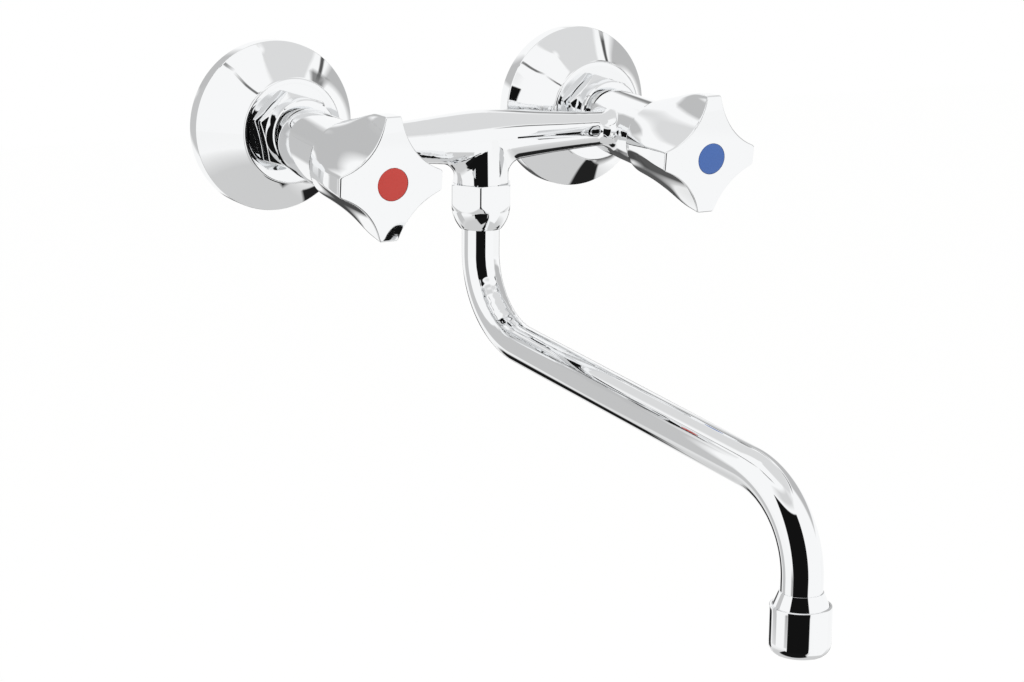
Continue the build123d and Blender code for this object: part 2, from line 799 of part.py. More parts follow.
    # Handle: a round skirt that spreads into four blunt lobes, hollow from behind. The lobe that
    # points up when the tap is shut is the longest.
    lobe_radii = (side_lobe_radius, top_lobe_radius, side_lobe_radius, low_lobe_radius)
    star_radii = [radius + lobe_spread for radius in lobe_radii]
    lobe_angles = [math.asin(lobe_half_width / radius) for radius in star_radii]
    skirt_lobe_angle = math.asin(skirt_lobe_half_width / skirt_radius)
    upright = Plane(origin=face.origin, x_dir=face.y_dir, z_dir=face.x_dir)

    def polar(radius, turn):
        """A point of a cross-section by its radius and angle in radians."""
        return (radius * math.cos(turn), radius * math.sin(turn))

    def face_height(radius):
        """How far along the valve the domed face lies at a radius."""
        return handle_face_along - face_crown * (radius / side_lobe_radius) ** 2

    with BuildPart() as handle:
        with BuildSketch(face.offset(handle_back_along)):
            with BuildLine():
                for quarter in range(4):
                    lobe = quarter * math.pi / 2
                    low, high = lobe - skirt_lobe_angle, lobe + skirt_lobe_angle
                    following = lobe + math.pi / 2 - skirt_lobe_angle
                    ThreePointArc(
                        polar(skirt_radius, low), polar(skirt_radius, lobe), polar(skirt_radius, high)
                    )
                    ThreePointArc(
                        polar(skirt_radius, high),
                        polar(skirt_radius, lobe + math.pi / 4),
                        polar(skirt_radius, following),
                    )
            make_face()
        with BuildSketch(face.offset(handle_face_along)):
            with BuildLine():
                for quarter in range(4):
                    lobe = quarter * math.pi / 2
                    here, beyond = star_radii[quarter], star_radii[(quarter + 1) % 4]
                    low, high = lobe - lobe_angles[quarter], lobe + lobe_angles[quarter]
                    following = lobe + math.pi / 2 - lobe_angles[(quarter + 1) % 4]
                    ThreePointArc(polar(here, low), polar(here, lobe), polar(here, high))
                    ThreePointArc(
                        polar(here, high),
                        polar(scoop_radius, lobe + math.pi / 4),
                        polar(beyond, following),
                    )
            make_face()
        loft(ruled=True)

        # Domed face and chamfered skirt edge
        rim = max(star_radii) + cut_over
        with BuildSketch(profile):
            with BuildLine():
                Polyline(
                    (0, handle_face_along),
                    (0, handle_back_along),
                    (skirt_radius - skirt_chamfer, handle_back_along),
                    (rim, handle_back_along + rim - skirt_radius + skirt_chamfer),
                    (rim, face_height(rim)),
                )
                ThreePointArc(
                    (rim, face_height(rim)),
                    (rim / 2, face_height(rim / 2)),
                    (0, handle_face_along),
                )
            make_face()
        revolve(axis=axis, mode=Mode.INTERSECT)

        # Each pair of facing lobes is trimmed to a curved outline with a rounded tip
        root_radius = skirt_radius + lobe_root_gap
        root_along = handle_back_along + skirt_chamfer
        for plane, right, left in (
            (profile, side_lobe_radius, side_lobe_radius),
            (upright, top_lobe_radius, low_lobe_radius),
        ):
            shoulders = []
            with BuildSketch(plane):
                with BuildLine():
                    for way, radius in ((1, right), (-1, left)):
                        rise = radius - skirt_radius
                        tip_along = face_height(radius) - lobe_rounding
                        turn = math.radians(lobe_tip_turn)
                        bend = radius - lobe_rounding
                        end = (
                            bend + lobe_rounding * math.cos(turn),
                            tip_along + lobe_rounding * math.sin(turn),
                        )
                        shoulder = (
                            way * (end[0] - lobe_tip_run * math.sin(turn)),
                            end[1] + lobe_tip_run * math.cos(turn),
                        )
                        Line((way * root_radius, handle_back_along - cut_over), (way * root_radius, root_along))
                        Spline(
                            (way * root_radius, root_along),
                            (
                                way * (skirt_radius + 0.5 * rise),
                                handle_back_along + 0.36 * handle_length,
                            ),
                            (
                                way * (skirt_radius + 0.86 * rise),
                                handle_back_along + 0.63 * handle_length,
                            ),
                            (way * radius, tip_along),
                            tangents=((way * rise, 0.7 * handle_length), (way * 0.08, 1)),
                        )
                        ThreePointArc(
                            (way * radius, tip_along),
                            (
                                way * (bend + lobe_rounding * math.cos(turn / 2)),
                                tip_along + lobe_rounding * math.sin(turn / 2),
                            ),
                            (way * end[0], end[1]),
                        )
                        Line((way * end[0], end[1]), shoulder)
                        shoulders.append(shoulder)
                    Line(shoulders[0], shoulders[1])
                    Line(
                        (root_radius, handle_back_along - cut_over),
                        (-root_radius, handle_back_along - cut_over),
                    )
                make_face()
            extrude(amount=rim, both=True, mode=Mode.INTERSECT)

        cavity_mid = handle_back_along + skirt_pocket_depth
        cavity_front = cavity_mid + cavity_taper_length
        cavity = [
            (0, handle_back_along - cut_over),
            (handle_bore_radius, handle_back_along - cut_over),
            (handle_bore_radius, cavity_mid),
            (cavity_mid_radius, cavity_front),
            (cavity_front_radius, cavity_front + cavity_end_length),
            (boss_radius, cavity_front + cavity_end_length),
            (boss_radius, boss_along),
            (0, boss_along),
        ]
        revolve(outline(profile, cavity), axis=axis, mode=Mode.SUBTRACT)
        with BuildSketch(face.offset(boss_along)):
            Rectangle(insert_width + 2 * press_gap, insert_width + 2 * press_gap)
        extrude(amount=insert_end_along - boss_along + face_gap, mode=Mode.SUBTRACT)
        with BuildSketch(face.offset(insert_end_along)):
            Circle(screw_radius + loose_gap)
        extrude(amount=screw_web, mode=Mode.SUBTRACT)
        with BuildSketch(face.offset(screw_seat_along)):
            Circle(screw_head_radius + loose_gap)
        extrude(amount=handle_face_along - screw_seat_along, mode=Mode.SUBTRACT)
        with BuildSketch(face.offset(index_disc_along)):
            Circle(index_disc_radius + press_gap)
        extrude(amount=index_disc_thickness + cut_over, mode=Mode.SUBTRACT)
    save(handle, f"handle_{name}")

    with BuildPart() as spline_insert:
        with BuildSketch(face.offset(insert_along)):
            Rectangle(insert_width, insert_width)
        extrude(amount=insert_length)
        teeth = spline_outline(
            face.offset(insert_along),
            spline_radius + running_gap,
            spline_radius - spline_depth + running_gap,
            spline_teeth,
        )
        extrude(teeth, amount=insert_length, mode=Mode.SUBTRACT)
    save(spline_insert, f"spline_insert_{name}")

    with BuildPart() as handle_screw:
        with BuildSketch(face.offset(screw_seat_along - screw_length)):
            Circle(screw_radius)
        extrude(amount=screw_length)
        with BuildSketch(face.offset(screw_seat_along)):
            Circle(screw_head_radius)
        extrude(amount=screw_head_height)
        with BuildSketch(face.offset(screw_seat_along + screw_head_height)):
            RegularPolygon(hex_prism_points(screw_socket), 6)
        extrude(amount=-screw_socket_depth, mode=Mode.SUBTRACT)
    save(handle_screw, f"handle_screw_{name}")

    with BuildPart() as index_disc:
        with BuildSketch(face.offset(index_disc_along)):
            Circle(index_disc_radius)
        extrude(amount=index_disc_thickness)
    save(index_disc, f"index_disc_{name}")

# Spout joint, all about the vertical axis under the middle of the bar. Radius and drop
# below the inlet level are the two coordinates of this plane.
drop_profile = Plane(origin=spout_top, x_dir=swing_direction, z_dir=swing_side)
spout_axis = Axis(spout_top, (0, 0, 1))
nut_corner = hex_prism_points(spout_nut_across_flats)
nut_flat = spout_nut_across_flats / 2
nut_outside = nut_corner + edge_chamfer
cone_slope = spout_nut_corner_rise / (nut_corner - nut_flat)

with BuildPart() as spout_nut:
    with BuildSketch(stub_plane.offset(spout_nut_top_drop)):
        RegularPolygon(nut_corner, 6, rotation=0)
    extrude(amount=spout_nut_bottom_drop - spout_nut_top_drop)
    with BuildSketch(drop_profile):
        with BuildLine():
            Polyline(
                (0, spout_nut_bottom_drop),
                (0, spout_nut_top_drop),
                (nut_corner - edge_chamfer, spout_nut_top_drop),
                (nut_outside, spout_nut_top_drop + edge_chamfer),
                (nut_outside, spout_nut_corner_drop - edge_chamfer * cone_slope),
                (nut_flat - thread_gap, spout_nut_flat_drop),
            )
            ThreePointArc(
                (nut_flat - thread_gap, spout_nut_flat_drop),
                (spout_nut_waist_radius, spout_nut_waist_drop),
                (spout_nut_bottom_radius, spout_nut_bottom_drop),
            )
            Line((spout_nut_bottom_radius, spout_nut_bottom_drop), (0, spout_nut_bottom_drop))
        make_face()
    revolve(axis=spout_axis, mode=Mode.INTERSECT)
    with BuildSketch(stub_plane.offset(spout_nut_top_drop)):
        Circle(stub_thread_radius + thread_gap)
    extrude(amount=spout_nut_floor_drop - spout_nut_top_drop, mode=Mode.SUBTRACT)
    with BuildSketch(stub_plane.offset(spout_nut_top_drop)):
        Circle(stub_radius + running_gap)
    extrude(
        amount=stub_shoulder_drop - spout_nut_top_drop + running_gap, mode=Mode.SUBTRACT
    )
    with BuildSketch(stub_plane.offset(spout_nut_floor_drop)):
        Circle(tube_radius + loose_gap / 2)
    extrude(amount=spout_nut_bottom_drop - spout_nut_floor_drop, mode=Mode.SUBTRACT)
save(spout_nut, "spout_nut")

with BuildPart() as slip_ring:
    with BuildSketch(stub_plane.offset(slip_ring_drop)):
        Circle(collar_flange_radius)
        Circle(tube_radius + loose_gap, mode=Mode.SUBTRACT)
        with Locations((0, collar_flange_radius)):
            Rectangle(slip_ring_split, collar_flange_radius, mode=Mode.SUBTRACT)
    extrude(amount=slip_ring_thickness)
save(slip_ring, "slip_ring")

ring_depth = 2 * spout_ring_wire
with BuildPart() as spout_collar:
    collar_end = collar_flange_drop + collar_flange_thickness
    turned = [
        (collar_bore, collar_top_drop),
        (collar_radius - edge_chamfer, collar_top_drop),
        (collar_radius, collar_top_drop + edge_chamfer),
        (collar_radius, collar_flange_drop),
        (collar_flange_radius, collar_flange_drop),
        (collar_flange_radius, collar_end),
        (tube_radius + press_gap, collar_end),
        (tube_radius + press_gap, tube_top_drop),
        (collar_bore, tube_top_drop),
    ]
    revolve(outline(drop_profile, turned), axis=spout_axis)
    for drop in spout_ring_drops:
        groove = band(
            collar_radius - ring_depth,
            collar_radius + cut_over,
            drop - spout_ring_wire - running_gap,
            drop + spout_ring_wire + running_gap,
        )
        revolve(outline(drop_profile, groove), axis=spout_axis, mode=Mode.SUBTRACT)
save(spout_collar, "spout_collar")

with BuildPart() as spout_rings:
    for drop in spout_ring_drops:
        with BuildSketch(drop_profile):
            with Locations((collar_radius - spout_ring_wire + press_gap, drop)):
                Circle(spout_ring_wire)
        revolve(axis=spout_axis)
save(spout_rings, "spout_rings")

# Spout tube
with BuildPart() as spout_tube:
    with BuildLine(drop_profile) as route:
        Line((0, tube_top_drop), (0, spout_first_bend_drop))
        ThreePointArc((0, spout_first_bend_drop), first_bend_middle, first_bend_end)
        Line(first_bend_end, run_end)
        ThreePointArc(run_end, second_bend_middle, second_bend_end)
        Line(second_bend_end, (spout_reach, tube_end_drop))
    with BuildSketch(stub_plane.offset(tube_top_drop)):
        Circle(tube_radius)
        Circle(tube_radius - tube_wall, mode=Mode.SUBTRACT)
    sweep()
save(spout_tube, "spout_tube")

# Outlet: a nose brazed on the tube, and the aerator screwed over it
outlet_profile = Plane(origin=outlet_top, x_dir=swing_direction, z_dir=swing_side)
outlet_plane = Plane(origin=outlet_top, x_dir=swing_direction, z_dir=down)
outlet_axis = Axis(outlet_top, (0, 0, 1))

with BuildPart() as spout_nose:
    turned = [
        (tube_radius + press_gap, nose_top_drop),
        (tube_radius + nose_edge, nose_top_drop),
        (nose_thread_radius, nose_shoulder_drop),
        (nose_thread_radius, nose_end_drop),
        (nose_bore, nose_end_drop),
        (nose_bore, tube_end_drop + 2 * tube_wall),
        (tube_radius - tube_wall, tube_end_drop + face_gap),
        (tube_radius + press_gap, tube_end_drop + face_gap),
    ]
    revolve(outline(outlet_profile, turned), axis=outlet_axis)
save(spout_nose, "spout_nose")

seal_drop = nose_end_drop + face_gap
jet_flange_drop = seal_drop + aerator_seal_thickness + face_gap
jet_body_drop = jet_flange_drop + jet_flange_thickness
lip_drop = aerator_bottom_drop - aerator_lip_height
aerator_step = jet_body_drop + face_gap
with BuildPart() as aerator_housing:
    with BuildSketch(outlet_profile):
        with BuildLine():
            Polyline(
                (aerator_thread, aerator_top_drop),
                (aerator_radius - edge_chamfer / 2, aerator_top_drop),
                (aerator_radius, aerator_top_drop + edge_chamfer),
                (aerator_radius, aerator_taper_drop),
            )
            ThreePointArc(
                (aerator_radius, aerator_taper_drop),
                (
                    aerator_radius - 0.25 * (aerator_radius - aerator_bottom_radius),
                    (aerator_taper_drop + aerator_bottom_drop) / 2,
                ),
                (aerator_bottom_radius, aerator_bottom_drop),
            )
            Polyline(
                (aerator_bottom_radius, aerator_bottom_drop),
                (aerator_lip_radius, aerator_bottom_drop),
                (aerator_lip_radius, lip_drop),
                (aerator_inner_radius, lip_drop),
                (aerator_inner_radius, aerator_step),
                (aerator_thread, aerator_step),
                (aerator_thread, aerator_top_drop),
            )
        make_face()
    revolve(axis=outlet_axis)
save(aerator_housing, "aerator_housing")

with BuildPart() as aerator_seal:
    ring = band(jet_body_radius, aerator_thread - loose_gap, seal_drop, seal_drop + aerator_seal_thickness)
    revolve(outline(outlet_profile, ring), axis=outlet_axis)
save(aerator_seal, "aerator_seal")

jet_end = lip_drop - face_gap
jet_inside = jet_body_radius - jet_wall
with BuildPart() as aerator_jet:
    turned = [
        (jet_inside, jet_flange_drop),
        (aerator_thread - loose_gap, jet_flange_drop),
        (aerator_thread - loose_gap, jet_body_drop),
        (aerator_inner_radius - loose_gap, jet_body_drop),
        (aerator_inner_radius - loose_gap, jet_end),
        (0, jet_end),
        (0, jet_end - jet_plate_thickness),
        (jet_inside, jet_end - jet_plate_thickness),
    ]
    revolve(outline(outlet_profile, turned), axis=outlet_axis)
    with BuildSketch(outlet_plane.offset(jet_end - jet_plate_thickness - cut_over)):
        Circle(jet_hole_radius)
        for ring_number, ring_radius in enumerate(jet_ring_radii, start=1):
            with PolarLocations(ring_radius, 6 * ring_number):
                Circle(jet_hole_radius)
    extrude(amount=jet_plate_thickness + 2 * cut_over, mode=Mode.SUBTRACT)
save(aerator_jet, "aerator_jet")

strainer_rim = jet_inside - running_gap
strainer_base = jet_flange_drop + jet_flange_thickness
with BuildPart() as aerator_strainer:
    turned = [
        (0, strainer_base - strainer_rise),
        (strainer_rim, strainer_base),
        (strainer_rim, strainer_base + strainer_thickness),
        (0, strainer_base - strainer_rise + strainer_thickness),
    ]
    revolve(outline(outlet_profile, turned), axis=outlet_axis)
    with BuildSketch(outlet_plane.offset(strainer_base - strainer_rise - cut_over)):
        for ring_number, ring_radius in enumerate(jet_ring_radii, start=1):
            with PolarLocations(ring_radius, 8 * ring_number):
                Circle(strainer_hole_radius)
    extrude(amount=strainer_rise + 2 * cut_over + strainer_thickness, mode=Mode.SUBTRACT)
save(aerator_strainer, "aerator_strainer")
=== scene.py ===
import math

import bpy
import numpy as np
from bpy.props import FloatProperty, FloatVectorProperty, IntProperty, PointerProperty
from mathutils import Matrix, Vector


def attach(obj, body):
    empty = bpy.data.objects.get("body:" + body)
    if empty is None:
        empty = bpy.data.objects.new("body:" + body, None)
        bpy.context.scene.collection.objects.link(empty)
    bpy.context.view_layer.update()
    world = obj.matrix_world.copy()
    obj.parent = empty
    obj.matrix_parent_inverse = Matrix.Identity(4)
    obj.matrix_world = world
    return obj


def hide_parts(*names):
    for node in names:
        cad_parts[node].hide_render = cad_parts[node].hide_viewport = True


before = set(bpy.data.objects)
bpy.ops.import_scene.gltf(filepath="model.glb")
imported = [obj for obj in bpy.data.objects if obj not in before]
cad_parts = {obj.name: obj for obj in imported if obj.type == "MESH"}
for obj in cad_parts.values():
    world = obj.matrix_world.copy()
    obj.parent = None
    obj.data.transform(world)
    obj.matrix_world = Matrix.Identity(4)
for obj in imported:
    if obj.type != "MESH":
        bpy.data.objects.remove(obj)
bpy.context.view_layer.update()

bl_info = {
    "name": "Wall Mixer Tap",
    "version": (1, 0, 0),
    "blender": (4, 5, 0),
    "location": "3D View > Sidebar > Tap",
    "description": "Dresses the packed wall-mounted kitchen mixer tap with detailed pieces and finishes",
    "category": "Object",
}

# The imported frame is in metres. The drawings below are in millimetres, as on a workshop drawing.
# A section is a list of places, each a radius and a distance along the piece's own axis.
# The wall is the plane y = 0, the room lies towards minus y, and the wall inlets are at level 0.
MM = 0.001
# Each side's name and its sign along x: hot is on the left for someone in front of the tap
SIDES = (("hot", -1), ("cold", 1))
INLET_X = 75.0
INLET_LEVEL = -6.0
BARREL_BACK = 39.0
BARREL_DROP = 2.9
BAR_DEPTH = 51.1
TILT = math.radians(5.5)
SWING = math.radians(5.0)
SLOPE = math.radians(7.5)
REACH = 208.0
PIPE_RADIUS = 8.0
PIPE_BORE = 7.0
UNION_OFFSET = 6
WALL_THREAD = 10.48
WALL_BORE = 7.8
TAP_THREAD = 13.22
TAP_BORE = 9.5

# The cross handle, with its places measured along the barrel's axis
HANDLE_BACK = 34.2
HANDLE_LENGTH = 41.0
HANDLE_FACE = HANDLE_BACK + HANDLE_LENGTH
SKIRT = 16.5
SCOOP = 15.7
CROWN = 1.2
DISC_SEAT = 6.6
# Lobe radii to the right, up, left and down. The one that points up is the longest.
LOBES = (22.5, 26.4, 22.5, 23.3)

# The photograph's camera, solved from the rosettes, the handles and the spout
PHOTO_WIDTH_PIXELS = 1024
FOCAL_PIXELS = 2397.9
SENSOR_WIDTH = 36
CAMERA_DISTANCE = 1103.7
CAMERA_AIM = (46.19, 0, -113.49)
CAMERA_AZIMUTH, CAMERA_ELEVATION, CAMERA_ROLL = (math.radians(v) for v in (-30.57, 12.68, 0.50))


def linear(code):
    """A colour written as an sRGB hex code, as linear red, green and blue."""
    parts = [int(code[i : i + 2], 16) / 255 for i in (0, 2, 4)]
    return tuple(c / 12.92 if c <= 0.04045 else ((c + 0.055) / 1.055) ** 2.4 for c in parts)


# Sizes and colours that a user may change


def length_setting(name, millimetres, description):
    """A length that a user may change, given in millimetres and kept in metres."""
    return FloatProperty(
        name=name, description=description, default=millimetres * MM, unit="LENGTH"
    )


def colour_setting(name, code, description):
    """A colour that a user may change, given as an sRGB hex code."""
    return FloatVectorProperty(
        name=name, description=description, default=linear(code), subtype="COLOR"
    )


class HandleSizes(bpy.types.PropertyGroup):
    """What a user may change on the cross handles."""

    ridge_rounding: length_setting(
        "Ridge rounding", 1.5, "How far the polished edge between a scoop and a lobe is rounded off"
    )
    face_rounding: length_setting(
        "Face edge rounding", 0.7, "Radius of the edge between the domed face and the scoops"
    )
    red: colour_setting("Hot index colour", "CB3A30", "Colour of the disc on the hot handle")
    blue: colour_setting("Cold index colour", "3F69B4", "Colour of the disc on the cold handle")


class WallSizes(bpy.types.PropertyGroup):
    """What a user may change on the wall side: rosettes, nuts and unions."""

    rosette_edge: length_setting("Rosette edge", 0.35, "Rounding of the rosette's thin edges")
    nut_corner: length_setting(
        "Nut corner rounding", 0.7, "How far the polished corners of the nuts are rounded off"
    )
    thread_pitch: length_setting(
        "Wall thread pitch", 1.814, "Distance from crest to crest, 14 threads to the inch"
    )
    thread_depth: length_setting(
        "Wall thread depth", 1.0, "Height of the thread from root to crest"
    )


class SpoutSizes(bpy.types.PropertyGroup):
    """What a user may change on the spout."""

    bend_radius: length_setting("Bend radius", 36.0, "Radius of both bends, to the pipe's middle")
    ripple: length_setting(
        "Bend ripple", 0.12, "Depth of the faint waves that bending leaves on a bend's inner side"
    )
    gauze_pitch: length_setting(
        "Gauze pitch", 0.8, "Distance between the gauze's wires, drawn coarse enough to show"
    )
    gauze_wire: length_setting("Gauze wire", 0.2, "Thickness of a wire of the aerator's gauze")


class FinishSizes(bpy.types.PropertyGroup):
    """Colours of the finishes."""

    chrome: colour_setting("Chrome", "F6F7F8", "Tint of the polished chrome")
    nickel: colour_setting("Nickel", "C9C3B6", "Tint of the dull nickel on the wall unions")
    brass: colour_setting("Brass", "D9B468", "Tint of bare turned brass")


class StageSizes(bpy.types.PropertyGroup):
    """The studio round the tap."""

    floor_level: FloatProperty(
        name="Floor level",
        description="Height of the pale floor, measured from the wall inlets",
        default=-0.9,
        unit="LENGTH",
    )
    light: FloatProperty(
        name="Light",
        description="Strength of the stronger soft lamp, in watts",
        default=6.0,
        unit="POWER",
    )
    cloth_steps: IntProperty(
        name="Cloth steps", description="Faces along each edge of a studio cloth", default=12
    )


# Drawing helpers


def place(origin, axis, across=(1, 0, 0)):
    """A local frame: z runs along the axis, x across it, in millimetres."""
    z = Vector(axis).normalized()
    x = Vector(across).normalized()
    y = z.cross(x)
    turn = Matrix((x, y, z)).transposed().to_4x4()
    return Matrix.Translation(Vector(origin)) @ turn


def inlet(side):
    """The frame of one side's inlet, with z out of the wall."""
    return place((side * INLET_X, 0, INLET_LEVEL), (0, -1, 0))


def valve(side):
    """The frame of one side's barrel and handle, which dip a little."""
    return place(
        (side * INLET_X, -BARREL_BACK, INLET_LEVEL - BARREL_DROP),
        (0, -math.cos(TILT), -math.sin(TILT)),
    )


def spout_joint():
    """The frame of the spout's joint, with z straight down."""
    return place((0, -BAR_DEPTH, INLET_LEVEL), (0, 0, -1))


def outlet():
    """The frame of the spout's end, with z straight down from the joint's level."""
    x, y = math.sin(SWING) * REACH, -BAR_DEPTH - math.cos(SWING) * REACH
    return place((x, y, INLET_LEVEL), (0, 0, -1), (math.sin(SWING), -math.cos(SWING), 0))


def arc(start, middle, end, steps):
    """Points of the arc through three points, without its start."""
    a, b, c = (np.array(p, float) for p in (start, middle, end))
    d = 2 * (a[0] * (b[1] - c[1]) + b[0] * (c[1] - a[1]) + c[0] * (a[1] - b[1]))
    aa, bb, cc = (p @ p for p in (a, b, c))
    centre = np.array(
        (
            (aa * (b[1] - c[1]) + bb * (c[1] - a[1]) + cc * (a[1] - b[1])) / d,
            (aa * (c[0] - b[0]) + bb * (a[0] - c[0]) + cc * (b[0] - a[0])) / d,
        )
    )
    angles = [math.atan2(*(p - centre)[::-1]) for p in (a, b, c)]
    span = (angles[2] - angles[0]) % (2 * math.pi)
    if (angles[1] - angles[0]) % (2 * math.pi) > span:
        span -= 2 * math.pi
    radius = np.linalg.norm(a - centre)
    turns = angles[0] + span * np.linspace(0, 1, steps + 1)[1:]
    return [tuple(centre + radius * np.array((math.cos(t), math.sin(t)))) for t in turns]


def line(start, end, steps):
    """Points of a straight run, without its start."""
    return [
        tuple(np.array(start) + (np.array(end) - np.array(start)) * i / steps)
        for i in range(1, steps + 1)
    ]


def eased(points, closed=True, steps=5):
    """A section's corners, each (radius, along[, rounding]), with the roundings drawn in."""
    out = []
    count = len(points)
    for i, point in enumerate(points):
        rounding = point[2] if len(point) > 2 else 0
        here = np.array(point[:2], float)
        if not rounding or (not closed and i in (0, count - 1)):
            out.append(tuple(here))
            continue
        before = np.array(points[i - 1][:2], float) - here
        after = np.array(points[(i + 1) % count][:2], float) - here
        run_before, run_after = np.linalg.norm(before), np.linalg.norm(after)
        before, after = before / run_before, after / run_after
        half = math.acos(max(-1, min(1, float(before @ after)))) / 2
        # No rounding takes up more than its share of the runs beside it
        most = 0.45 * min(run_before, run_after)
        reach = min(rounding / math.tan(half), most)
        radius = reach * math.tan(half)
        centre = here + (before + after) / np.linalg.norm(before + after) * radius / math.sin(half)
        start, end = here + before * reach, here + after * reach
        toward = here - centre
        middle = centre + toward / np.linalg.norm(toward) * radius
        out.append(tuple(start))
        out.extend(arc(start, middle, end, steps))
    return out


def softened(a, b, width):
    """The smaller of two radii, with the edge between them rounded off."""
    gap = np.maximum(width - np.abs(a - b), 0) / width
    return np.minimum(a, b) - gap * gap * width / 4


def smooth_curve(places, values, first_slope, last_slope, steps=40):
    """A smooth curve through four points with given end slopes, as two arrays."""
    x, y = np.array(places, float), np.array(values, float)
    h = np.diff(x)
    d = np.diff(y) / h
    system = np.array([[2 / h[0] + 2 / h[1], 1 / h[1]], [1 / h[1], 2 / h[1] + 2 / h[2]]])
    right = 3 * np.array([d[0] / h[0] + d[1] / h[1], d[1] / h[1] + d[2] / h[2]])
    right -= np.array([first_slope / h[0], last_slope / h[2]])
    slopes = [first_slope, *np.linalg.solve(system, right), last_slope]
    xs, ys = [], []
    t = np.linspace(0, 1, steps)
    for i in range(3):
        xs.append(x[i] + h[i] * t)
        ys.append(
            (2 * t**3 - 3 * t**2 + 1) * y[i]
            + (t**3 - 2 * t**2 + t) * h[i] * slopes[i]
            + (3 * t**2 - 2 * t**3) * y[i + 1]
            + (t**3 - t**2) * h[i] * slopes[i + 1]
        )
    return np.concatenate(xs), np.concatenate(ys)


def hexagon(turns, flat, first, rounding):
    """Radius of a hexagon with rounded corners.

    flat is half its width across flats, and one flat faces the way of first.
    """
    part = np.mod(turns - first + math.pi / 6, math.pi / 3) - math.pi / 6
    near = flat / np.cos(part)
    # The flat beside it, with a limit that only keeps the division sound
    beside = flat / np.maximum(np.cos(math.pi / 3 - np.abs(part)), 0.2)
    return softened(near, beside, rounding)


def ring(radii, along, turns, centre=(0, 0)):
    """One row of a turned piece, with a radius for each angle."""
    radii = np.broadcast_to(radii, turns.shape)
    return np.stack(
        (
            centre[0] + radii * np.cos(turns),
            centre[1] + radii * np.sin(turns),
            np.broadcast_to(along, turns.shape),
        ),
        axis=1,
    )


def mesh_object(name, vertices, faces, sharp=38):
    """A mesh object at the origin, with its faces outwards and smooth but for its sharp edges."""
    vertices = np.asarray(vertices, float)
    mesh = bpy.data.meshes.new(name)
    mesh.from_pydata(vertices.tolist(), [], faces)
    mesh.update()
    triangles = [(f[0], f[i], f[i + 1]) for f in faces for i in range(1, len(f) - 1)]
    t = np.array(triangles)
    a, b, c = vertices[t[:, 0]], vertices[t[:, 1]], vertices[t[:, 2]]
    if np.einsum("ij,ij->i", a, np.cross(b, c)).sum() < 0:
        mesh.flip_normals()
    mesh.shade_smooth()
    mesh.set_sharp_from_angle(angle=math.radians(sharp))
    obj = bpy.data.objects.new(name, mesh)
    bpy.context.scene.collection.objects.link(obj)
    return obj


def turned(name, rows, where, closed=True):
    """A mesh from rows of points round an axis. An open piece has a pole at each end."""
    count = len(rows[0])
    local = np.concatenate(rows)
    faces = []
    spans = [(i, (i + 1) % len(rows)) for i in range(len(rows) if closed else len(rows) - 1)]
    for i, j in spans:
        for k in range(count):
            m = (k + 1) % count
            faces.append((i * count + k, i * count + m, j * count + m, j * count + k))
    if not closed:
        for row, index in ((rows[0], 0), (rows[-1], len(rows) - 1)):
            pole = len(local)
            local = np.concatenate((local, row.mean(axis=0, keepdims=True)))
            for k in range(count):
                m = (k + 1) % count
                edge = (index * count + k, index * count + m)
                faces.append((pole, edge[1], edge[0]) if index == 0 else (pole, *edge))
    matrix = np.array(where)
    world = local @ matrix[:3, :3].T + matrix[:3, 3]
    return mesh_object(name, world * MM, faces)


def full_turn(columns):
    """Evenly spaced angles of one turn."""
    return np.linspace(0, 2 * math.pi, columns, endpoint=False)


def plain_rows(section, turns):
    """Rows of a turned piece. A place of its section may differ from angle to angle."""
    return [ring(radius, along, turns) for radius, along in section]


def milled_rows(outline, flat, first_flat, corner, rounding, round_below):
    """Rows of a nut: a turned outline, cut by six flats where its radius is over round_below."""
    turns = full_turn(240)
    spacing = 0.35
    hexagonal = hexagon(turns, flat, math.radians(first_flat), corner)
    rows = []
    for i, start in enumerate(outline):
        end = outline[(i + 1) % len(outline)]
        apart = math.hypot(end[0] - start[0], end[1] - start[1])
        between = line(start, end, max(1, int(apart / spacing)))[:-1]
        for radius, along in (start, *between):
            if radius > round_below:
                radii = softened(np.full_like(turns, radius), hexagonal, rounding)
            else:
                radii = radius
            rows.append(ring(radii, along, turns))
    return rows


def finish_piece(obj, body, kind, *nodes):
    """Give a finished piece its material, its body and the nodes it stands for."""
    obj.data.materials.clear()
    obj.data.materials.append(finish(kind))
    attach(obj, body)
    if nodes:
        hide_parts(*nodes)
    return obj


def on_both_sides(piece, made, rows, where, kind, body=None):
    """Make one piece for each side. It rides on that side's handle if no body is given."""
    for name, side in SIDES:
        obj = turned(f"{piece}_{name}_{made}", rows, where(side))
        finish_piece(obj, body or f"{name}_handle", kind, f"{piece}_{name}")


# Finishes

# Each finish's material, named for the real finish
MATERIALS = {
    "cast_chrome": "chrome_plated_brass_casting",
    "pipe_chrome": "chrome_plated_brass_pipe",
    "zinc_chrome": "chrome_plated_zinc_die_casting",
    "spun_chrome": "chrome_plated_spun_brass",
    "nickel": "dull_nickel_on_turned_brass",
    "bright_nickel": "bright_nickel_on_turned_brass",
    "brass": "bare_turned_brass",
    "rubber": "black_nitrile_rubber",
    "ceramic": "lapped_white_alumina",
    "nylon": "natural_nylon",
    "acetal": "grey_acetal",
    "steel": "tumbled_stainless_steel",
    "red": "red_abs_index_disc",
    "blue": "blue_abs_index_disc",
}
# Blender's bands lie this far apart at scale 1
BAND_SPACING = 0.314


def finish(kind):
    """A finish that the finishes operator has made."""
    return bpy.data.materials[MATERIALS[kind]]


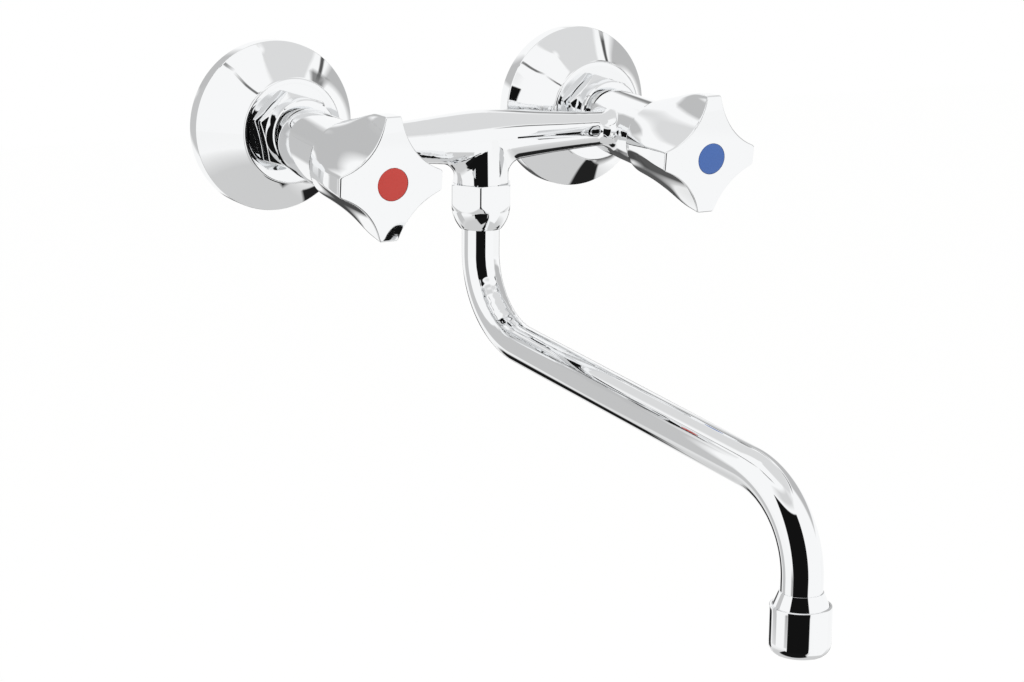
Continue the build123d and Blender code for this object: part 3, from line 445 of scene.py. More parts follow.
def add(tree, kind, settings=None, links=None):
    """Add a node, set its values and sockets, and link its inputs.

    A link comes from a socket, or from a node, which stands for its first output.
    """
    node = tree.nodes.new(kind)
    for key, value in (settings or {}).items():
        if isinstance(key, int) or key in node.inputs:
            node.inputs[key].default_value = value
        else:
            setattr(node, key, value)
    for key, source in (links or {}).items():
        first = isinstance(source, bpy.types.Node)
        tree.links.new(source.outputs[0] if first else source, node.inputs[key])
    return node


def blank(name):
    """A new material and its tree, empty."""
    material = bpy.data.materials.get(name) or bpy.data.materials.new(name)
    material.use_nodes = True
    material.node_tree.nodes.clear()
    return material, material.node_tree


def plated(kind, colour, sheen_low, sheen_high, wave_mm, wave_height_mm, haze_mm):
    """Electroplated metal: a mirror whose plate follows a hand-polished casting.

    The polish leaves slow waves, wave_mm apart and wave_height_mm high, and the roughness
    drifts between its two values in patches haze_mm wide.
    """
    _, tree = blank(MATERIALS[kind])
    where = add(tree, "ShaderNodeTexCoord")
    waves = add(
        tree,
        "ShaderNodeTexNoise",
        {"Scale": 1 / (wave_mm * MM), "Detail": 1.0, "Roughness": 0.4},
        {"Vector": where.outputs["Object"]},
    )
    haze = add(
        tree,
        "ShaderNodeTexNoise",
        {"Scale": 1 / (haze_mm * MM), "Detail": 4.0, "Roughness": 0.6},
        {"Vector": where.outputs["Object"]},
    )
    spread = add(
        tree,
        "ShaderNodeMapRange",
        {"From Min": 0.3, "From Max": 0.7, "To Min": sheen_low, "To Max": sheen_high},
        {"Value": haze},
    )
    swell = add(
        tree,
        "ShaderNodeBump",
        {"Strength": 1.0, "Distance": wave_height_mm * MM},
        {"Height": waves},
    )
    shader = add(
        tree,
        "ShaderNodeBsdfPrincipled",
        {"Base Color": (*colour, 1), "Metallic": 1.0},
        {"Roughness": spread, "Normal": swell},
    )
    add(tree, "ShaderNodeOutputMaterial", links={"Surface": shader})


def clouded(tree, where, relief, bump, colour, darker, cloud_mm, gloss, base):
    """Finish a dull material: tone and gloss drift in clouds over its fine relief."""
    cloud = add(
        tree,
        "ShaderNodeTexNoise",
        {"Scale": 1 / (cloud_mm * MM), "Detail": 3.0},
        {"Vector": where.outputs["Object"]},
    )
    tone = add(
        tree,
        "ShaderNodeMix",
        {"data_type": "RGBA", 6: (*colour, 1), 7: (*(darker * c for c in colour), 1)},
        {0: cloud},
    )
    low, high = gloss
    drift = add(tree, "ShaderNodeMapRange", {"To Min": low, "To Max": high}, {"Value": cloud})
    skin = add(tree, "ShaderNodeBump", bump, {"Height": relief})
    shader = add(
        tree,
        "ShaderNodeBsdfPrincipled",
        base,
        {"Base Color": tone.outputs[2], "Roughness": drift, "Normal": skin},
    )
    add(tree, "ShaderNodeOutputMaterial", links={"Surface": shader})


def machined(kind, colour, roughness, cut_mm, cut_height_mm, direction):
    """Turned metal: fine tool marks, cut_mm apart, that run round the piece."""
    _, tree = blank(MATERIALS[kind])
    where = add(tree, "ShaderNodeTexCoord")
    marks = add(
        tree,
        "ShaderNodeTexWave",
        {
            "wave_type": "BANDS",
            "bands_direction": direction,
            "wave_profile": "SIN",
            "Scale": BAND_SPACING / (cut_mm * MM),
            "Distortion": 0.6,
            "Detail": 1.0,
        },
        {"Vector": where.outputs["Object"]},
    )
    bump = {"Strength": 0.6, "Distance": cut_height_mm * MM}
    gloss = (0.85 * roughness, 1.2 * roughness)
    relief = marks.outputs["Fac"]
    metal = {"Metallic": 1.0}
    clouded(tree, where, relief, bump, colour, darker=0.82, cloud_mm=6, gloss=gloss, base=metal)


def moulded(kind, colour, roughness, grain_mm, grain_height_mm, ior, mottle=0.06):
    """Moulded plastic, rubber or fired ceramic: a fine even skin with a slight mottle."""
    _, tree = blank(MATERIALS[kind])
    where = add(tree, "ShaderNodeTexCoord")
    grain = add(
        tree,
        "ShaderNodeTexNoise",
        {"Scale": 1 / (grain_mm * MM), "Detail": 2.0, "Roughness": 0.5},
        {"Vector": where.outputs["Object"]},
    )
    bump = {"Strength": 0.5, "Distance": grain_height_mm * MM}
    gloss = (0.9 * roughness, 1.1 * roughness)
    base = {"IOR": ior}
    clouded(tree, where, grain, bump, colour, darker=1 - mottle, cloud_mm=9, gloss=gloss, base=base)


def make_finishes():
    """Make every finish of the tap."""
    scene = bpy.context.scene
    colours, handles = scene.tap_finishes, scene.tap_handles
    chrome, nickel, brass = tuple(colours.chrome), tuple(colours.nickel), tuple(colours.brass)
    # Chrome plate on a polished brass casting: a bright, nearly perfect mirror with a trace of
    # the casting's slow waves.
    plated("cast_chrome", chrome, 0.012, 0.035, 22, 0.012, 7)
    # Chrome plate on drawn and bent brass pipe: the straightest mirror on the tap.
    plated("pipe_chrome", chrome, 0.01, 0.03, 30, 0.006, 8)
    # Chrome plate on a zinc die casting: as bright, with softer waves from the die.
    plated("zinc_chrome", chrome, 0.012, 0.04, 16, 0.012, 6)
    # Chrome plate on spun brass sheet: bright, with a slightly looser polish.
    plated("spun_chrome", chrome, 0.015, 0.045, 20, 0.015, 7)
    # Dull nickel on turned brass, hidden behind the rosette, so it isn't polished.
    machined("nickel", nickel, 0.3, 0.25, 0.004, "Y")
    # Bright nickel on the inlet collar that shows behind the union nut.
    plated("bright_nickel", linear("EBEBEA"), 0.05, 0.1, 12, 0.006, 5)
    # Bare free-cutting brass, straight from the lathe.
    machined("brass", brass, 0.26, 0.2, 0.004, "Y")
    # Nitrile rubber: dark, dead matt.
    moulded("rubber", linear("1B1B1C"), 0.62, 0.25, 0.01, 1.52)
    # Lapped alumina: dense white with a soft shine.
    moulded("ceramic", linear("F2EFE8"), 0.22, 0.12, 0.002, 1.76, 0.03)
    # Natural polyamide: milky, slightly waxy.
    moulded("nylon", linear("E6E3DA"), 0.42, 0.3, 0.005, 1.53)
    # Grey acetal: smooth, low gloss.
    moulded("acetal", linear("A2A4A6"), 0.38, 0.3, 0.004, 1.48)
    # Stainless spring steel, tumbled bright.
    machined("steel", linear("C4C5C7"), 0.24, 0.3, 0.003, "Z")
    # Moulded ABS index discs: flat colour under a semi-gloss skin.
    moulded("red", tuple(handles.red), 0.34, 0.35, 0.004, 1.54, 0.04)
    moulded("blue", tuple(handles.blue), 0.34, 0.35, 0.004, 1.54, 0.04)


# Which finish each node from the construction has. Where hot and cold are alike, one line serves.
CARRIED = {
    "body": "cast_chrome",
    "spout_nut": "cast_chrome",
    "slip_ring": "nylon",
    "spout_collar": "brass",
    "spout_rings": "rubber",
    "spout_tube": "pipe_chrome",
    "spout_nose": "pipe_chrome",
    "aerator_housing": "cast_chrome",
    "aerator_seal": "rubber",
    "aerator_jet": "acetal",
    "aerator_strainer": "steel",
    "rosette": "spun_chrome",
    "s_union": "nickel",
    "union_nut": "cast_chrome",
    "inlet_gasket": "rubber",
    "inlet_tail": "bright_nickel",
    "seat_seal": "rubber",
    "fixed_disc": "ceramic",
    "moving_disc": "ceramic",
    "spindle": "brass",
    "slip_washer": "nylon",
    "stem_ring": "rubber",
    "valve_housing": "brass",
    "valve_gasket": "rubber",
    "circlip": "steel",
    "handle": "zinc_chrome",
    "spline_insert": "nylon",
    "handle_screw": "steel",
    "index_disc_hot": "red",
    "index_disc_cold": "blue",
}


# The light tent: each cloth has a name, a tone, the share of its width over which its border
# fades, and four corners, each an azimuth (0 is straight out of the wall, positive to the cold
# side) and an elevation in degrees about the tent's middle.
TENT_MIDDLE = (0, -100, -60)
TENT_RADIUS = 500
TENT = (
    ("front_flag", "131313", 0.02, ((-62, -44), (0, -44), (2, 28), (-66, 28))),
    ("front_right_card", "FFFFFF", 0.05, ((3, -52), (62, -52), (62, -3), (3, -3))),
    ("left_low_cloth", "A4A4A4", 0.4, ((-76, -34), (-58, -34), (-60, -20), (-76, -20))),
    ("right_cloth", "BEBEBE", 0.12, ((60, -4), (128, -4), (140, 28), (55, 40))),
    ("right_back_cloth", "8C8C8C", 0.25, ((126, 22), (150, 18), (150, 34), (126, 46))),
    ("back_middle_cloth", "585858", 0.2, ((129, -29), (170, -29), (170, -3), (129, -3))),
    ("back_left_cloth", "C8C8C8", 0.08, ((-152, -40), (-118, -40), (-118, 24), (-152, 24))),
    ("back_left_high_cloth", "C2C2C2", 0.15, ((-178, 18), (-118, 14), (-118, 40), (-178, 38))),
    ("back_low_flag", "181818", 0.15, ((162, -50), (200, -50), (200, -30), (162, -30))),
    ("back_right_flag", "4A4A4A", 0.2, ((158, -25), (182, -25), (182, -12), (158, -12))),
    ("top_cloth", "E0E0E0", 0.06, ((20, 42), (215, 42), (215, 89), (-40, 89))),
    ("front_high_cloth", "DADADA", 0.3, ((-64, 29), (30, 31), (30, 58), (-64, 46))),
    ("back_seam", "202020", 0.1, ((-178, 51), (-124, 36), (-123, 38), (-178, 53))),
    ("left_seam_front", "6E6E6E", 0.3, ((-38, 52), (-84, 57), (-84, 61), (-38, 56))),
    ("left_seam_back", "6E6E6E", 0.3, ((-84, 57), (-146, 42), (-146, 46), (-84, 61))),
    ("right_seam_front", "5A5A5A", 0.3, ((38, 38), (98, 38), (98, 42), (38, 42))),
    ("right_seam_back", "5A5A5A", 0.3, ((98, 38), (142, 26), (142, 31), (98, 42))),
)
# Dark cloths that lie flat below the tap: a name, a tone, a fading share, a height in metres and
# four corners in metres
LOW_FLAGS = (
    (
        "right_floor_flag", "222222", 0.1, -0.40,
        ((0.25, -0.06), (0.44, -0.02), (0.50, 0.34), (0.24, 0.26)),
    ),
    (
        "left_floor_flag", "161616", 0.06, -0.30,
        ((-0.25, -0.24), (-0.04, -0.47), (0.04, -0.30), (-0.06, -0.165)),
    ),
)


def cloth_grid(corners, steps, soft):
    """Places between four corners, row by row, with a border as wide as the cloth's fade."""
    first, second, third, fourth = (np.array(c, float) for c in corners)
    shares = np.concatenate(([0.0], np.linspace(soft, 1 - soft, steps - 1), [1.0]))
    for u in shares:
        for v in shares:
            low = first * (1 - u) + second * u
            high = fourth * (1 - u) + third * u
            yield low * (1 - v) + high * v


def tent_patch(corners, steps, soft):
    """Places of a cloth that hangs on the tent's round wall."""
    points = []
    for azimuth, elevation in cloth_grid(corners, steps, soft):
        a, e = math.radians(azimuth), math.radians(elevation)
        ray = np.array((math.sin(a) * math.cos(e), -math.cos(a) * math.cos(e), math.sin(e)))
        points.append((np.array(TENT_MIDDLE) + TENT_RADIUS * ray) * MM)
    return points


def hang_cloth(label, tone, points, steps):
    """A glowing cloth that only the mirror of the chrome sees, faded out along its border."""
    row = steps + 1
    faces = [
        (k, k + row, k + row + 1, k + 1)
        for i in range(steps)
        for k in range(i * row, i * row + steps)
    ]
    cloth, tree = blank(f"studio_cloth_{tone}")
    glow = add(tree, "ShaderNodeEmission", {"Color": (*linear(tone), 1), "Strength": 1.0})
    clear = add(tree, "ShaderNodeBsdfTransparent")
    body = add(tree, "ShaderNodeAttribute", {"attribute_name": "body"})
    mixed = add(tree, "ShaderNodeMixShader", links={0: body.outputs["Fac"], 1: clear, 2: glow})
    add(tree, "ShaderNodeOutputMaterial", links={"Surface": mixed})
    panel = mesh_object(label, points, faces)
    inside = [
        float(0 < i < steps and 0 < j < steps) for i in range(row) for j in range(row)
    ]
    panel.data.attributes.new("body", "FLOAT", "POINT").data.foreach_set("value", inside)
    panel.data.materials.append(cloth)
    panel.visible_camera = False
    panel.visible_diffuse = False
    panel.visible_shadow = False
    panel.visible_transmission = False


def seen_rays(tree):
    """The light path, and a value that is 1 for rays from the camera, a mirror or glass."""
    path = add(tree, "ShaderNodeLightPath")
    seen = path.outputs["Is Camera Ray"]
    for kind in ("Is Glossy Ray", "Is Transmission Ray"):
        either = {0: seen, 1: path.outputs[kind]}
        seen = add(tree, "ShaderNodeMath", {"operation": "MAXIMUM"}, either)
    return path, seen


def lay_floor(level):
    """A pale floor, far enough below that the tap seems to float, with its own soft shadow."""
    half_width = 6.0
    under_tap = (0, -0.1, level)
    near, far = 0.75, 1.72
    grey, white, camera_white = 0.62, 1.04, 1.06
    glow_share = 0.85
    material, tree = blank("pale_studio_floor")
    matt = add(tree, "ShaderNodeBsdfDiffuse", {"Color": (*linear("F2F2F0"), 1)})
    path, seen = seen_rays(tree)
    # White to the camera. Only the chrome's mirror sees a painted grey reflection of the floor under the
    # tap, which turns white farther out.
    where = add(tree, "ShaderNodeTexCoord")
    off = add(
        tree,
        "ShaderNodeVectorMath",
        {"operation": "DISTANCE", 1: under_tap},
        {0: where.outputs["Object"]},
    )
    fade = add(
        tree,
        "ShaderNodeMapRange",
        {"From Min": near, "From Max": far, "To Min": grey, "To Max": white},
        {"Value": off.outputs["Value"]},
    )
    tone = add(
        tree,
        "ShaderNodeMix",
        {"data_type": "FLOAT", 2: camera_white},
        {0: path.outputs["Is Glossy Ray"], 3: fade},
    )
    glow = add(tree, "ShaderNodeEmission", {"Color": (1, 1, 1, 1)}, {"Strength": tone})
    share = add(tree, "ShaderNodeMath", {"operation": "MULTIPLY", 1: glow_share}, {0: seen})
    mixed = add(tree, "ShaderNodeMixShader", links={0: share, 1: matt, 2: glow})
    add(tree, "ShaderNodeOutputMaterial", links={"Surface": mixed})
    corners = [
        (x * half_width, y * half_width, level) for x, y in ((-1, -1), (1, -1), (1, 1), (-1, 1))
    ]
    floor = mesh_object("studio_floor", corners, [(0, 1, 2, 3)])
    floor.data.materials.append(material)


def light_room():
    """A white room to the camera and to mirrors, and a softer one to matt surfaces."""
    world = bpy.data.worlds.new("studio")
    bpy.context.scene.world = world
    world.use_nodes = True
    tree = world.node_tree
    tree.nodes.clear()
    _, seen = seen_rays(tree)
    room = add(tree, "ShaderNodeBackground", {"Color": (*linear("FAFAFA"), 1), "Strength": 0.75})
    white = add(tree, "ShaderNodeBackground", {"Color": (1, 1, 1, 1), "Strength": 1.0})
    mixed = add(tree, "ShaderNodeMixShader", links={0: seen, 1: room, 2: white})
    add(tree, "ShaderNodeOutputWorld", links={"Surface": mixed})


def hang_lamps(watts):
    """Two soft lamps in front, the stronger one on the left. Mirrors don't show them."""
    target = Vector((0, -0.1, -0.08))
    size = 0.9
    for label, spot, share in (
        ("soft_lamp_left", (-0.9, -1.1, 0.9), 1.0),
        ("soft_lamp_right", (1.1, -0.8, 0.7), 0.7),
    ):
        lamp = bpy.data.lights.new(label, "AREA")
        lamp.energy = watts * share
        lamp.size = size
        obj = bpy.data.objects.new(label, lamp)
        obj.location = spot
        obj.rotation_euler = (target - Vector(spot)).to_track_quat("-Z", "Y").to_euler()
        obj.visible_glossy = False
        bpy.context.scene.collection.objects.link(obj)


def set_camera():
    """Stand the camera where the photograph's was."""
    a, e, roll = CAMERA_AZIMUTH, CAMERA_ELEVATION, CAMERA_ROLL
    back = Vector((math.sin(a) * math.cos(e), -math.cos(a) * math.cos(e), math.sin(e)))
    right = Vector((math.cos(a), math.sin(a), 0))
    up = back.cross(right)
    right, up = (
        right * math.cos(roll) + up * math.sin(roll),
        up * math.cos(roll) - right * math.sin(roll),
    )
    data = bpy.data.cameras.new("photo_camera")
    data.sensor_width = SENSOR_WIDTH
    data.lens = FOCAL_PIXELS / PHOTO_WIDTH_PIXELS * SENSOR_WIDTH
    data.clip_start = 0.01
    camera = bpy.data.objects.new("photo_camera", data)
    spot = Vector(CAMERA_AIM) * MM + back * CAMERA_DISTANCE * MM
    turn = Matrix((right, up, back)).transposed().to_4x4()
    camera.matrix_world = Matrix.Translation(spot) @ turn
    bpy.context.scene.collection.objects.link(camera)
    bpy.context.scene.camera = camera


# Operators


class TAP_OT_finishes(bpy.types.Operator):
    """Make every finish and put it on the pieces carried over from the construction"""

    bl_idname = "tap.finishes"
    bl_label = "Finishes"

    def execute(self, context):
        make_finishes()
        for name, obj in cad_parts.items():
            kind = name if name in CARRIED else name.rsplit("_", 1)[0]
            if kind not in CARRIED:
                raise RuntimeError(f"no finish is named for {name}")
            obj.data.materials.clear()
            obj.data.materials.append(finish(CARRIED[kind]))
        return {"FINISHED"}


class TAP_OT_rosettes(bpy.types.Operator):
    """Spin the two rosettes from their section, with softened edges"""

    bl_idname = "tap.rosettes"
    bl_label = "Rosettes"

    def execute(self, context):
        edge = context.scene.tap_wall.rosette_edge / MM
        # The band round the outside, the bore and its face, and the hollow behind
        radius, band = 36.0, 6.31
        bore, face = 13.25, 24.0
        hollow = 34.6
        flare_start, flare_end = (34.6, 7.6), (22.2, 23.6)
        band_end = (radius - edge, band + 0.92 * edge)
        section = [(radius, 0.0), (radius, band - edge)]
        section += arc((radius, band - edge), (radius - 0.25 * edge, band), band_end, 6)
        section += line(band_end, flare_start, 3)
        section += arc(flare_start, (27.8, 15.0), flare_end, 28)
        section += arc(flare_end, (21.96, 24.16), (21.4, 24.4), 6)
        section += line((21.4, 24.4), (bore + edge, face), 4)
        section += arc(
            (bore + edge, face), (bore + 0.3 * edge, face - 0.3 * edge), (bore, face - edge), 4
        )
        section += [(bore, 18.9), (16.02, 18.9), (16.02, 22.0), (20.7, 22.4)]
        section += arc((20.7, 22.4), (26.4, 13.6), (33.9, 6.2), 20)
        section += [(hollow, 4.8), (hollow, 0.0)]
        rows = plain_rows(section, full_turn(224))
        on_both_sides("rosette", "spun", rows, inlet, "spun_chrome", "tap_body")
        return {"FINISHED"}


class TAP_OT_unions(bpy.types.Operator):
    """Turn the eccentric wall unions, with a real thread on the wall end"""

    bl_idname = "tap.unions"
    bl_label = "Wall unions"

    def execute(self, context):
        wall = context.scene.tap_wall
        pitch, depth = wall.thread_pitch / MM, wall.thread_depth / MM
        turns = full_turn(96)
        wall_end, thread_end = -14.0, 2.4
        off_centre = (0, UNION_OFFSET)
        rows = []
        rows_per_pitch = 8
        steps = rows_per_pitch * round((thread_end - wall_end) / pitch)
        for i in range(steps + 1):
            along = wall_end + (thread_end - wall_end) * i / steps
            started = (along - wall_end) / pitch
            # The groove has straight sides and small flats at crest and root. It fades in and
            # out over a pitch, and the wall end is tapered.
            phase = np.mod(along / pitch - turns / (2 * math.pi), 1)
            groove = np.clip(np.abs(phase - 0.5) * 2.4 - 0.1, 0, 1)
            fade = min(1.0, started) * min(1.0, (thread_end - along) / pitch)
            taper = depth * max(0.0, 1 - started)
            radii = WALL_THREAD - np.maximum(depth * groove * fade, taper)
            rows.append(ring(radii, along, turns, off_centre))
        rows.append(ring(WALL_THREAD, 2.9, turns, off_centre))
        # The offset from the wall thread's middle to the tap thread's
        offset_steps = 12
        for i in range(1, offset_steps + 1):
            part = i / offset_steps
            radius = WALL_THREAD + (TAP_THREAD - WALL_THREAD) * part
            rows.append(ring(radius, 3 + 6 * part, turns, (0, UNION_OFFSET * (1 - part))))
        tap_end = [
            (TAP_THREAD, 9.2), (TAP_THREAD, 29.5, 0.4), (TAP_BORE, 29.5, 0.3), (TAP_BORE, 6.0),
        ]
        rows += plain_rows(eased(tap_end, closed=False), turns)
        for radius, along in ((WALL_BORE, 6.0), (WALL_BORE, -13.6), (8.2, wall_end)):
            rows.append(ring(radius, along, turns, off_centre))
        on_both_sides("s_union", "threaded", rows, inlet, "nickel", "tap_body")
        return {"FINISHED"}


class TAP_OT_union_nuts(bpy.types.Operator):
    """Make the two union nuts: a short hexagon with rounded corners and a round collar"""

    bl_idname = "tap.union_nuts"
    bl_label = "Union nuts"

    def execute(self, context):
        corner = context.scene.tap_wall.nut_corner / MM
        outline = eased(
            [
                (13.25, 24.6), (14.97, 24.6, 0.15), (17.82, 26.23), (17.82, 27.51),
                (14.75, 29.2, 0.2), (14.5, 35.65, 0.2), (14.0, 36.15, 0.2), (10.5, 36.15, 0.2),
                (10.5, 33.55, 0.1), (13.25, 33.55, 0.1),
            ]
        )
        rows = milled_rows(
            outline, flat=15.0, first_flat=13, corner=corner, rounding=0.35, round_below=14
        )
        on_both_sides("union_nut", "milled", rows, inlet, "cast_chrome", "tap_body")
        return {"FINISHED"}


def handle_columns():
    """Angles of the handle's columns, closest at the ridges beside each lobe."""
    eighth = (np.arange(0, 3, 0.75), np.arange(3, 12, 0.4), np.arange(12, 45, 1.5))
    eighth = np.radians(np.concatenate(eighth))
    quarter = np.concatenate((eighth, [math.pi / 4], math.pi / 2 - eighth[:0:-1]))
    return np.concatenate([quarter + i * math.pi / 2 for i in range(4)])


def polar(radius, turn):
    """The place at a radius and an angle, or an array of them."""
    return np.stack((radius * np.cos(turn), radius * np.sin(turn)), axis=-1)


def handle_sections():
    """The skirt's round section and the star at the face, matched point by point."""
    skirt_half, lobe_half, overshoot = 1.4, 3.2, 4.2
    low_back = math.asin(skirt_half / SKIRT)
    part, inner = np.linspace(0, 1, 40), np.linspace(0, 1, 301)
    back_points, front_points = [], []
    for i, lobe in enumerate(LOBES):
        here, beyond = lobe + overshoot, LOBES[(i + 1) % 4] + overshoot
        middle = i * math.pi / 2
        wide, next_wide = math.asin(lobe_half / here), math.asin(lobe_half / beyond)
        back_points.append(polar(SKIRT, middle + low_back * (2 * part - 1)))
        front_points.append(polar(here, middle + wide * (2 * part - 1)))
        valley = middle + low_back + (math.pi / 2 - 2 * low_back) * inner
        back_points.append(polar(SKIRT, valley))
        start = tuple(polar(here, middle + wide))
        lowest = tuple(polar(SCOOP, middle + math.pi / 4))
        end = tuple(polar(beyond, middle + math.pi / 2 - next_wide))
        front_points.append(np.array([start] + arc(start, lowest, end, 300)))
    return np.concatenate(back_points), np.concatenate(front_points)


def lobe_outlines():
    """The curved outline that each lobe's tip follows from the skirt to the face."""
    outlines = []
    for lobe in LOBES:
        rise = lobe - SKIRT
        tip = HANDLE_FACE - CROWN * (lobe / LOBES[0]) ** 2 - 1.0
        middle, high = HANDLE_BACK + 0.36 * HANDLE_LENGTH, HANDLE_BACK + 0.63 * HANDLE_LENGTH
        places = (HANDLE_BACK + 0.5, middle, high, tip)
        radii = (SKIRT + 0.25, SKIRT + 0.5 * rise, SKIRT + 0.86 * rise, lobe)
        outlines.append(smooth_curve(places, radii, rise / (0.7 * HANDLE_LENGTH), 0.08))
    return outlines


def handle_wall(turns, ridge):
    """The outer wall: places along the handle, and the radius of every column at each."""
    back_points, front_points = handle_sections()
    outlines = lobe_outlines()
    # The places stand closer over the last five millimetres, where the edge of the face runs
    close, step = HANDLE_BACK + 36, 0.2
    heights = np.concatenate(
        (np.linspace(HANDLE_BACK, close, 90), np.linspace(close + step, HANDLE_FACE, 60))
    )
    rims = []
    for along in heights:
        # The scoops are a ruled surface between the two sections
        share = (along - HANDLE_BACK) / HANDLE_LENGTH
        points = (1 - share) * back_points + share * front_points
        angle = np.unwrap(np.arctan2(points[:, 1], points[:, 0]))
        ruled = np.interp(turns, angle, np.hypot(*points.T), period=2 * math.pi)
        # No lobe reaches past the flat front that its outline gives it
        limit = np.full_like(turns, 99.0)
        for i, (places, radii) in enumerate(outlines):
            toward = np.cos(turns - i * math.pi / 2)
            reach = np.interp(along, places, radii)
            limit = np.minimum(limit, reach / np.maximum(toward, 0.01))
        width = ridge * min(1.0, max(0.1, (along - HANDLE_BACK) / 15))
        rims.append(softened(ruled, limit, width))
    return heights, np.array(rims)


def face_height(radii):
    """How far along the handle its domed face lies, at a radius."""
    return HANDLE_FACE - CROWN * (radii / LOBES[0]) ** 2


def face_rim(heights, rims):
    """Where the wall meets the domed face: a radius and a place along for each column."""
    columns = rims.shape[1]
    top_radius, top_along = np.empty(columns), np.empty(columns)
    for k in range(columns):
        gap = face_height(rims[:, k]) - heights
        i = min(np.nonzero(gap > 0)[0][-1], len(heights) - 2)
        share = gap[i] / (gap[i] - gap[i + 1])
        top_along[k] = heights[i] + share * (heights[i + 1] - heights[i])
        top_radius[k] = rims[i, k] + share * (rims[i + 1, k] - rims[i, k])
    return top_radius, top_along


def handle_hollow(turns):
    """The hollow's section: disc seat, screw bore, square for the spline insert, and skirt."""
    disc_floor, screw_floor = 73.4, 66.44
    square_half, square_front, square_back = 5.27, 57.46, 48.34
    square = square_half / np.maximum(np.abs(np.cos(turns)), np.abs(np.sin(turns)))
    mouth = face_height(DISC_SEAT)
    return [
        (DISC_SEAT + 0.03, mouth - 0.03), (DISC_SEAT, mouth - 0.12), (DISC_SEAT, disc_floor),
        (4.55, disc_floor), (4.55, screw_floor), (2.8, screw_floor), (2.8, square_front),
        (square, square_front), (square, square_back), (9.0, square_back), (9.0, 66.0),
        (11.2, 66.0), (12.4, 60.0), (15.2, 43.0), (15.2, HANDLE_BACK), (15.9, HANDLE_BACK),
    ]


class TAP_OT_handles(bpy.types.Operator):
    """Cast the two cross handles: a round skirt that spreads into four blunt lobes"""

    bl_idname = "tap.handles"
    bl_label = "Handles"

    def execute(self, context):
        sizes = context.scene.tap_handles
        ridge, edge = sizes.ridge_rounding / MM, sizes.face_rounding / MM
        turns = handle_columns()
        heights, rims = handle_wall(turns, ridge)
        top_radius, top_along = face_rim(heights, rims)
        cut = top_along - edge
        section = []
        shares = np.concatenate(
            ([0, 0.006, 0.012], np.linspace(0.03, 0.86, 44), np.linspace(0.88, 1, 14))
        )
        for share in shares:
            along = HANDLE_BACK + share * (cut - HANDLE_BACK)
            radii = np.array([np.interp(a, heights, rims[:, k]) for k, a in enumerate(along)])
            # The skirt's back edge is broken by half a millimetre
            radii = np.minimum(radii, SKIRT - 0.5 + np.maximum(along - HANDLE_BACK, 0))
            section.append((radii, along))
        # Round the edge over on to the face, and run in to the index disc's seat
        wall_radius = radii
        inner_radius = top_radius - edge
        for turn in np.linspace(0, math.pi / 2, 8)[1:-1]:
            over = edge * (1 - math.cos(turn))
            radii = wall_radius - over + (top_radius - wall_radius) * math.sin(turn)
            section.append((radii, cut + (face_height(inner_radius) - cut) * math.sin(turn)))
        for share in np.linspace(0, 1, 16):
            radii = inner_radius + (DISC_SEAT + 0.12 - inner_radius) * share
            section.append((radii, face_height(radii)))
        section += handle_hollow(turns)
        on_both_sides("handle", "cast", plain_rows(section, turns), valve, "zinc_chrome")
        return {"FINISHED"}


class TAP_OT_index_discs(bpy.types.Operator):
    """Mould the red and blue index discs, with a small rounded edge"""

    bl_idname = "tap.index_discs"
    bl_label = "Index discs"

    def execute(self, context):
        section = eased([(0.4, 73.42), (6.5, 73.42), (6.53, 75.18, 0.3), (0.4, 75.18)], closed=False)
        rows = plain_rows(section, full_turn(96))
        for name, side in SIDES:
            obj = turned(f"index_disc_{name}_moulded", rows, valve(side), closed=False)
            colour = "red" if name == "hot" else "blue"
            finish_piece(obj, f"{name}_handle", colour, f"index_disc_{name}")
        return {"FINISHED"}


class TAP_OT_spout_nut(bpy.types.Operator):
    """Make the spout nut: a hexagon that rounds into a cone above the pipe"""

    bl_idname = "tap.spout_nut"
    bl_label = "Spout nut"

    def execute(self, context):
        corner = context.scene.tap_wall.nut_corner / MM
        outline = [(11.66, 23.3), (13.82, 23.3), (14.82, 23.8), (14.82, 31.12), (12.37, 34.9)]
        outline += arc((12.37, 34.9), (11.15, 39.0), (9.3, 42.1), 16)
        outline += arc((9.3, 42.1), (9.06, 42.5), (8.75, 42.8), 4)
        outline += [(8.15, 42.8), (8.15, 36.44), (11.03, 36.44), (11.03, 23.66), (11.66, 23.65)]
        rows = milled_rows(
            outline, flat=12.4, first_flat=30, corner=corner, rounding=0.5, round_below=11.9
        )
        obj = turned("spout_nut_milled", rows, spout_joint())
        finish_piece(obj, "tap_body", "cast_chrome", "spout_nut")
        return {"FINISHED"}


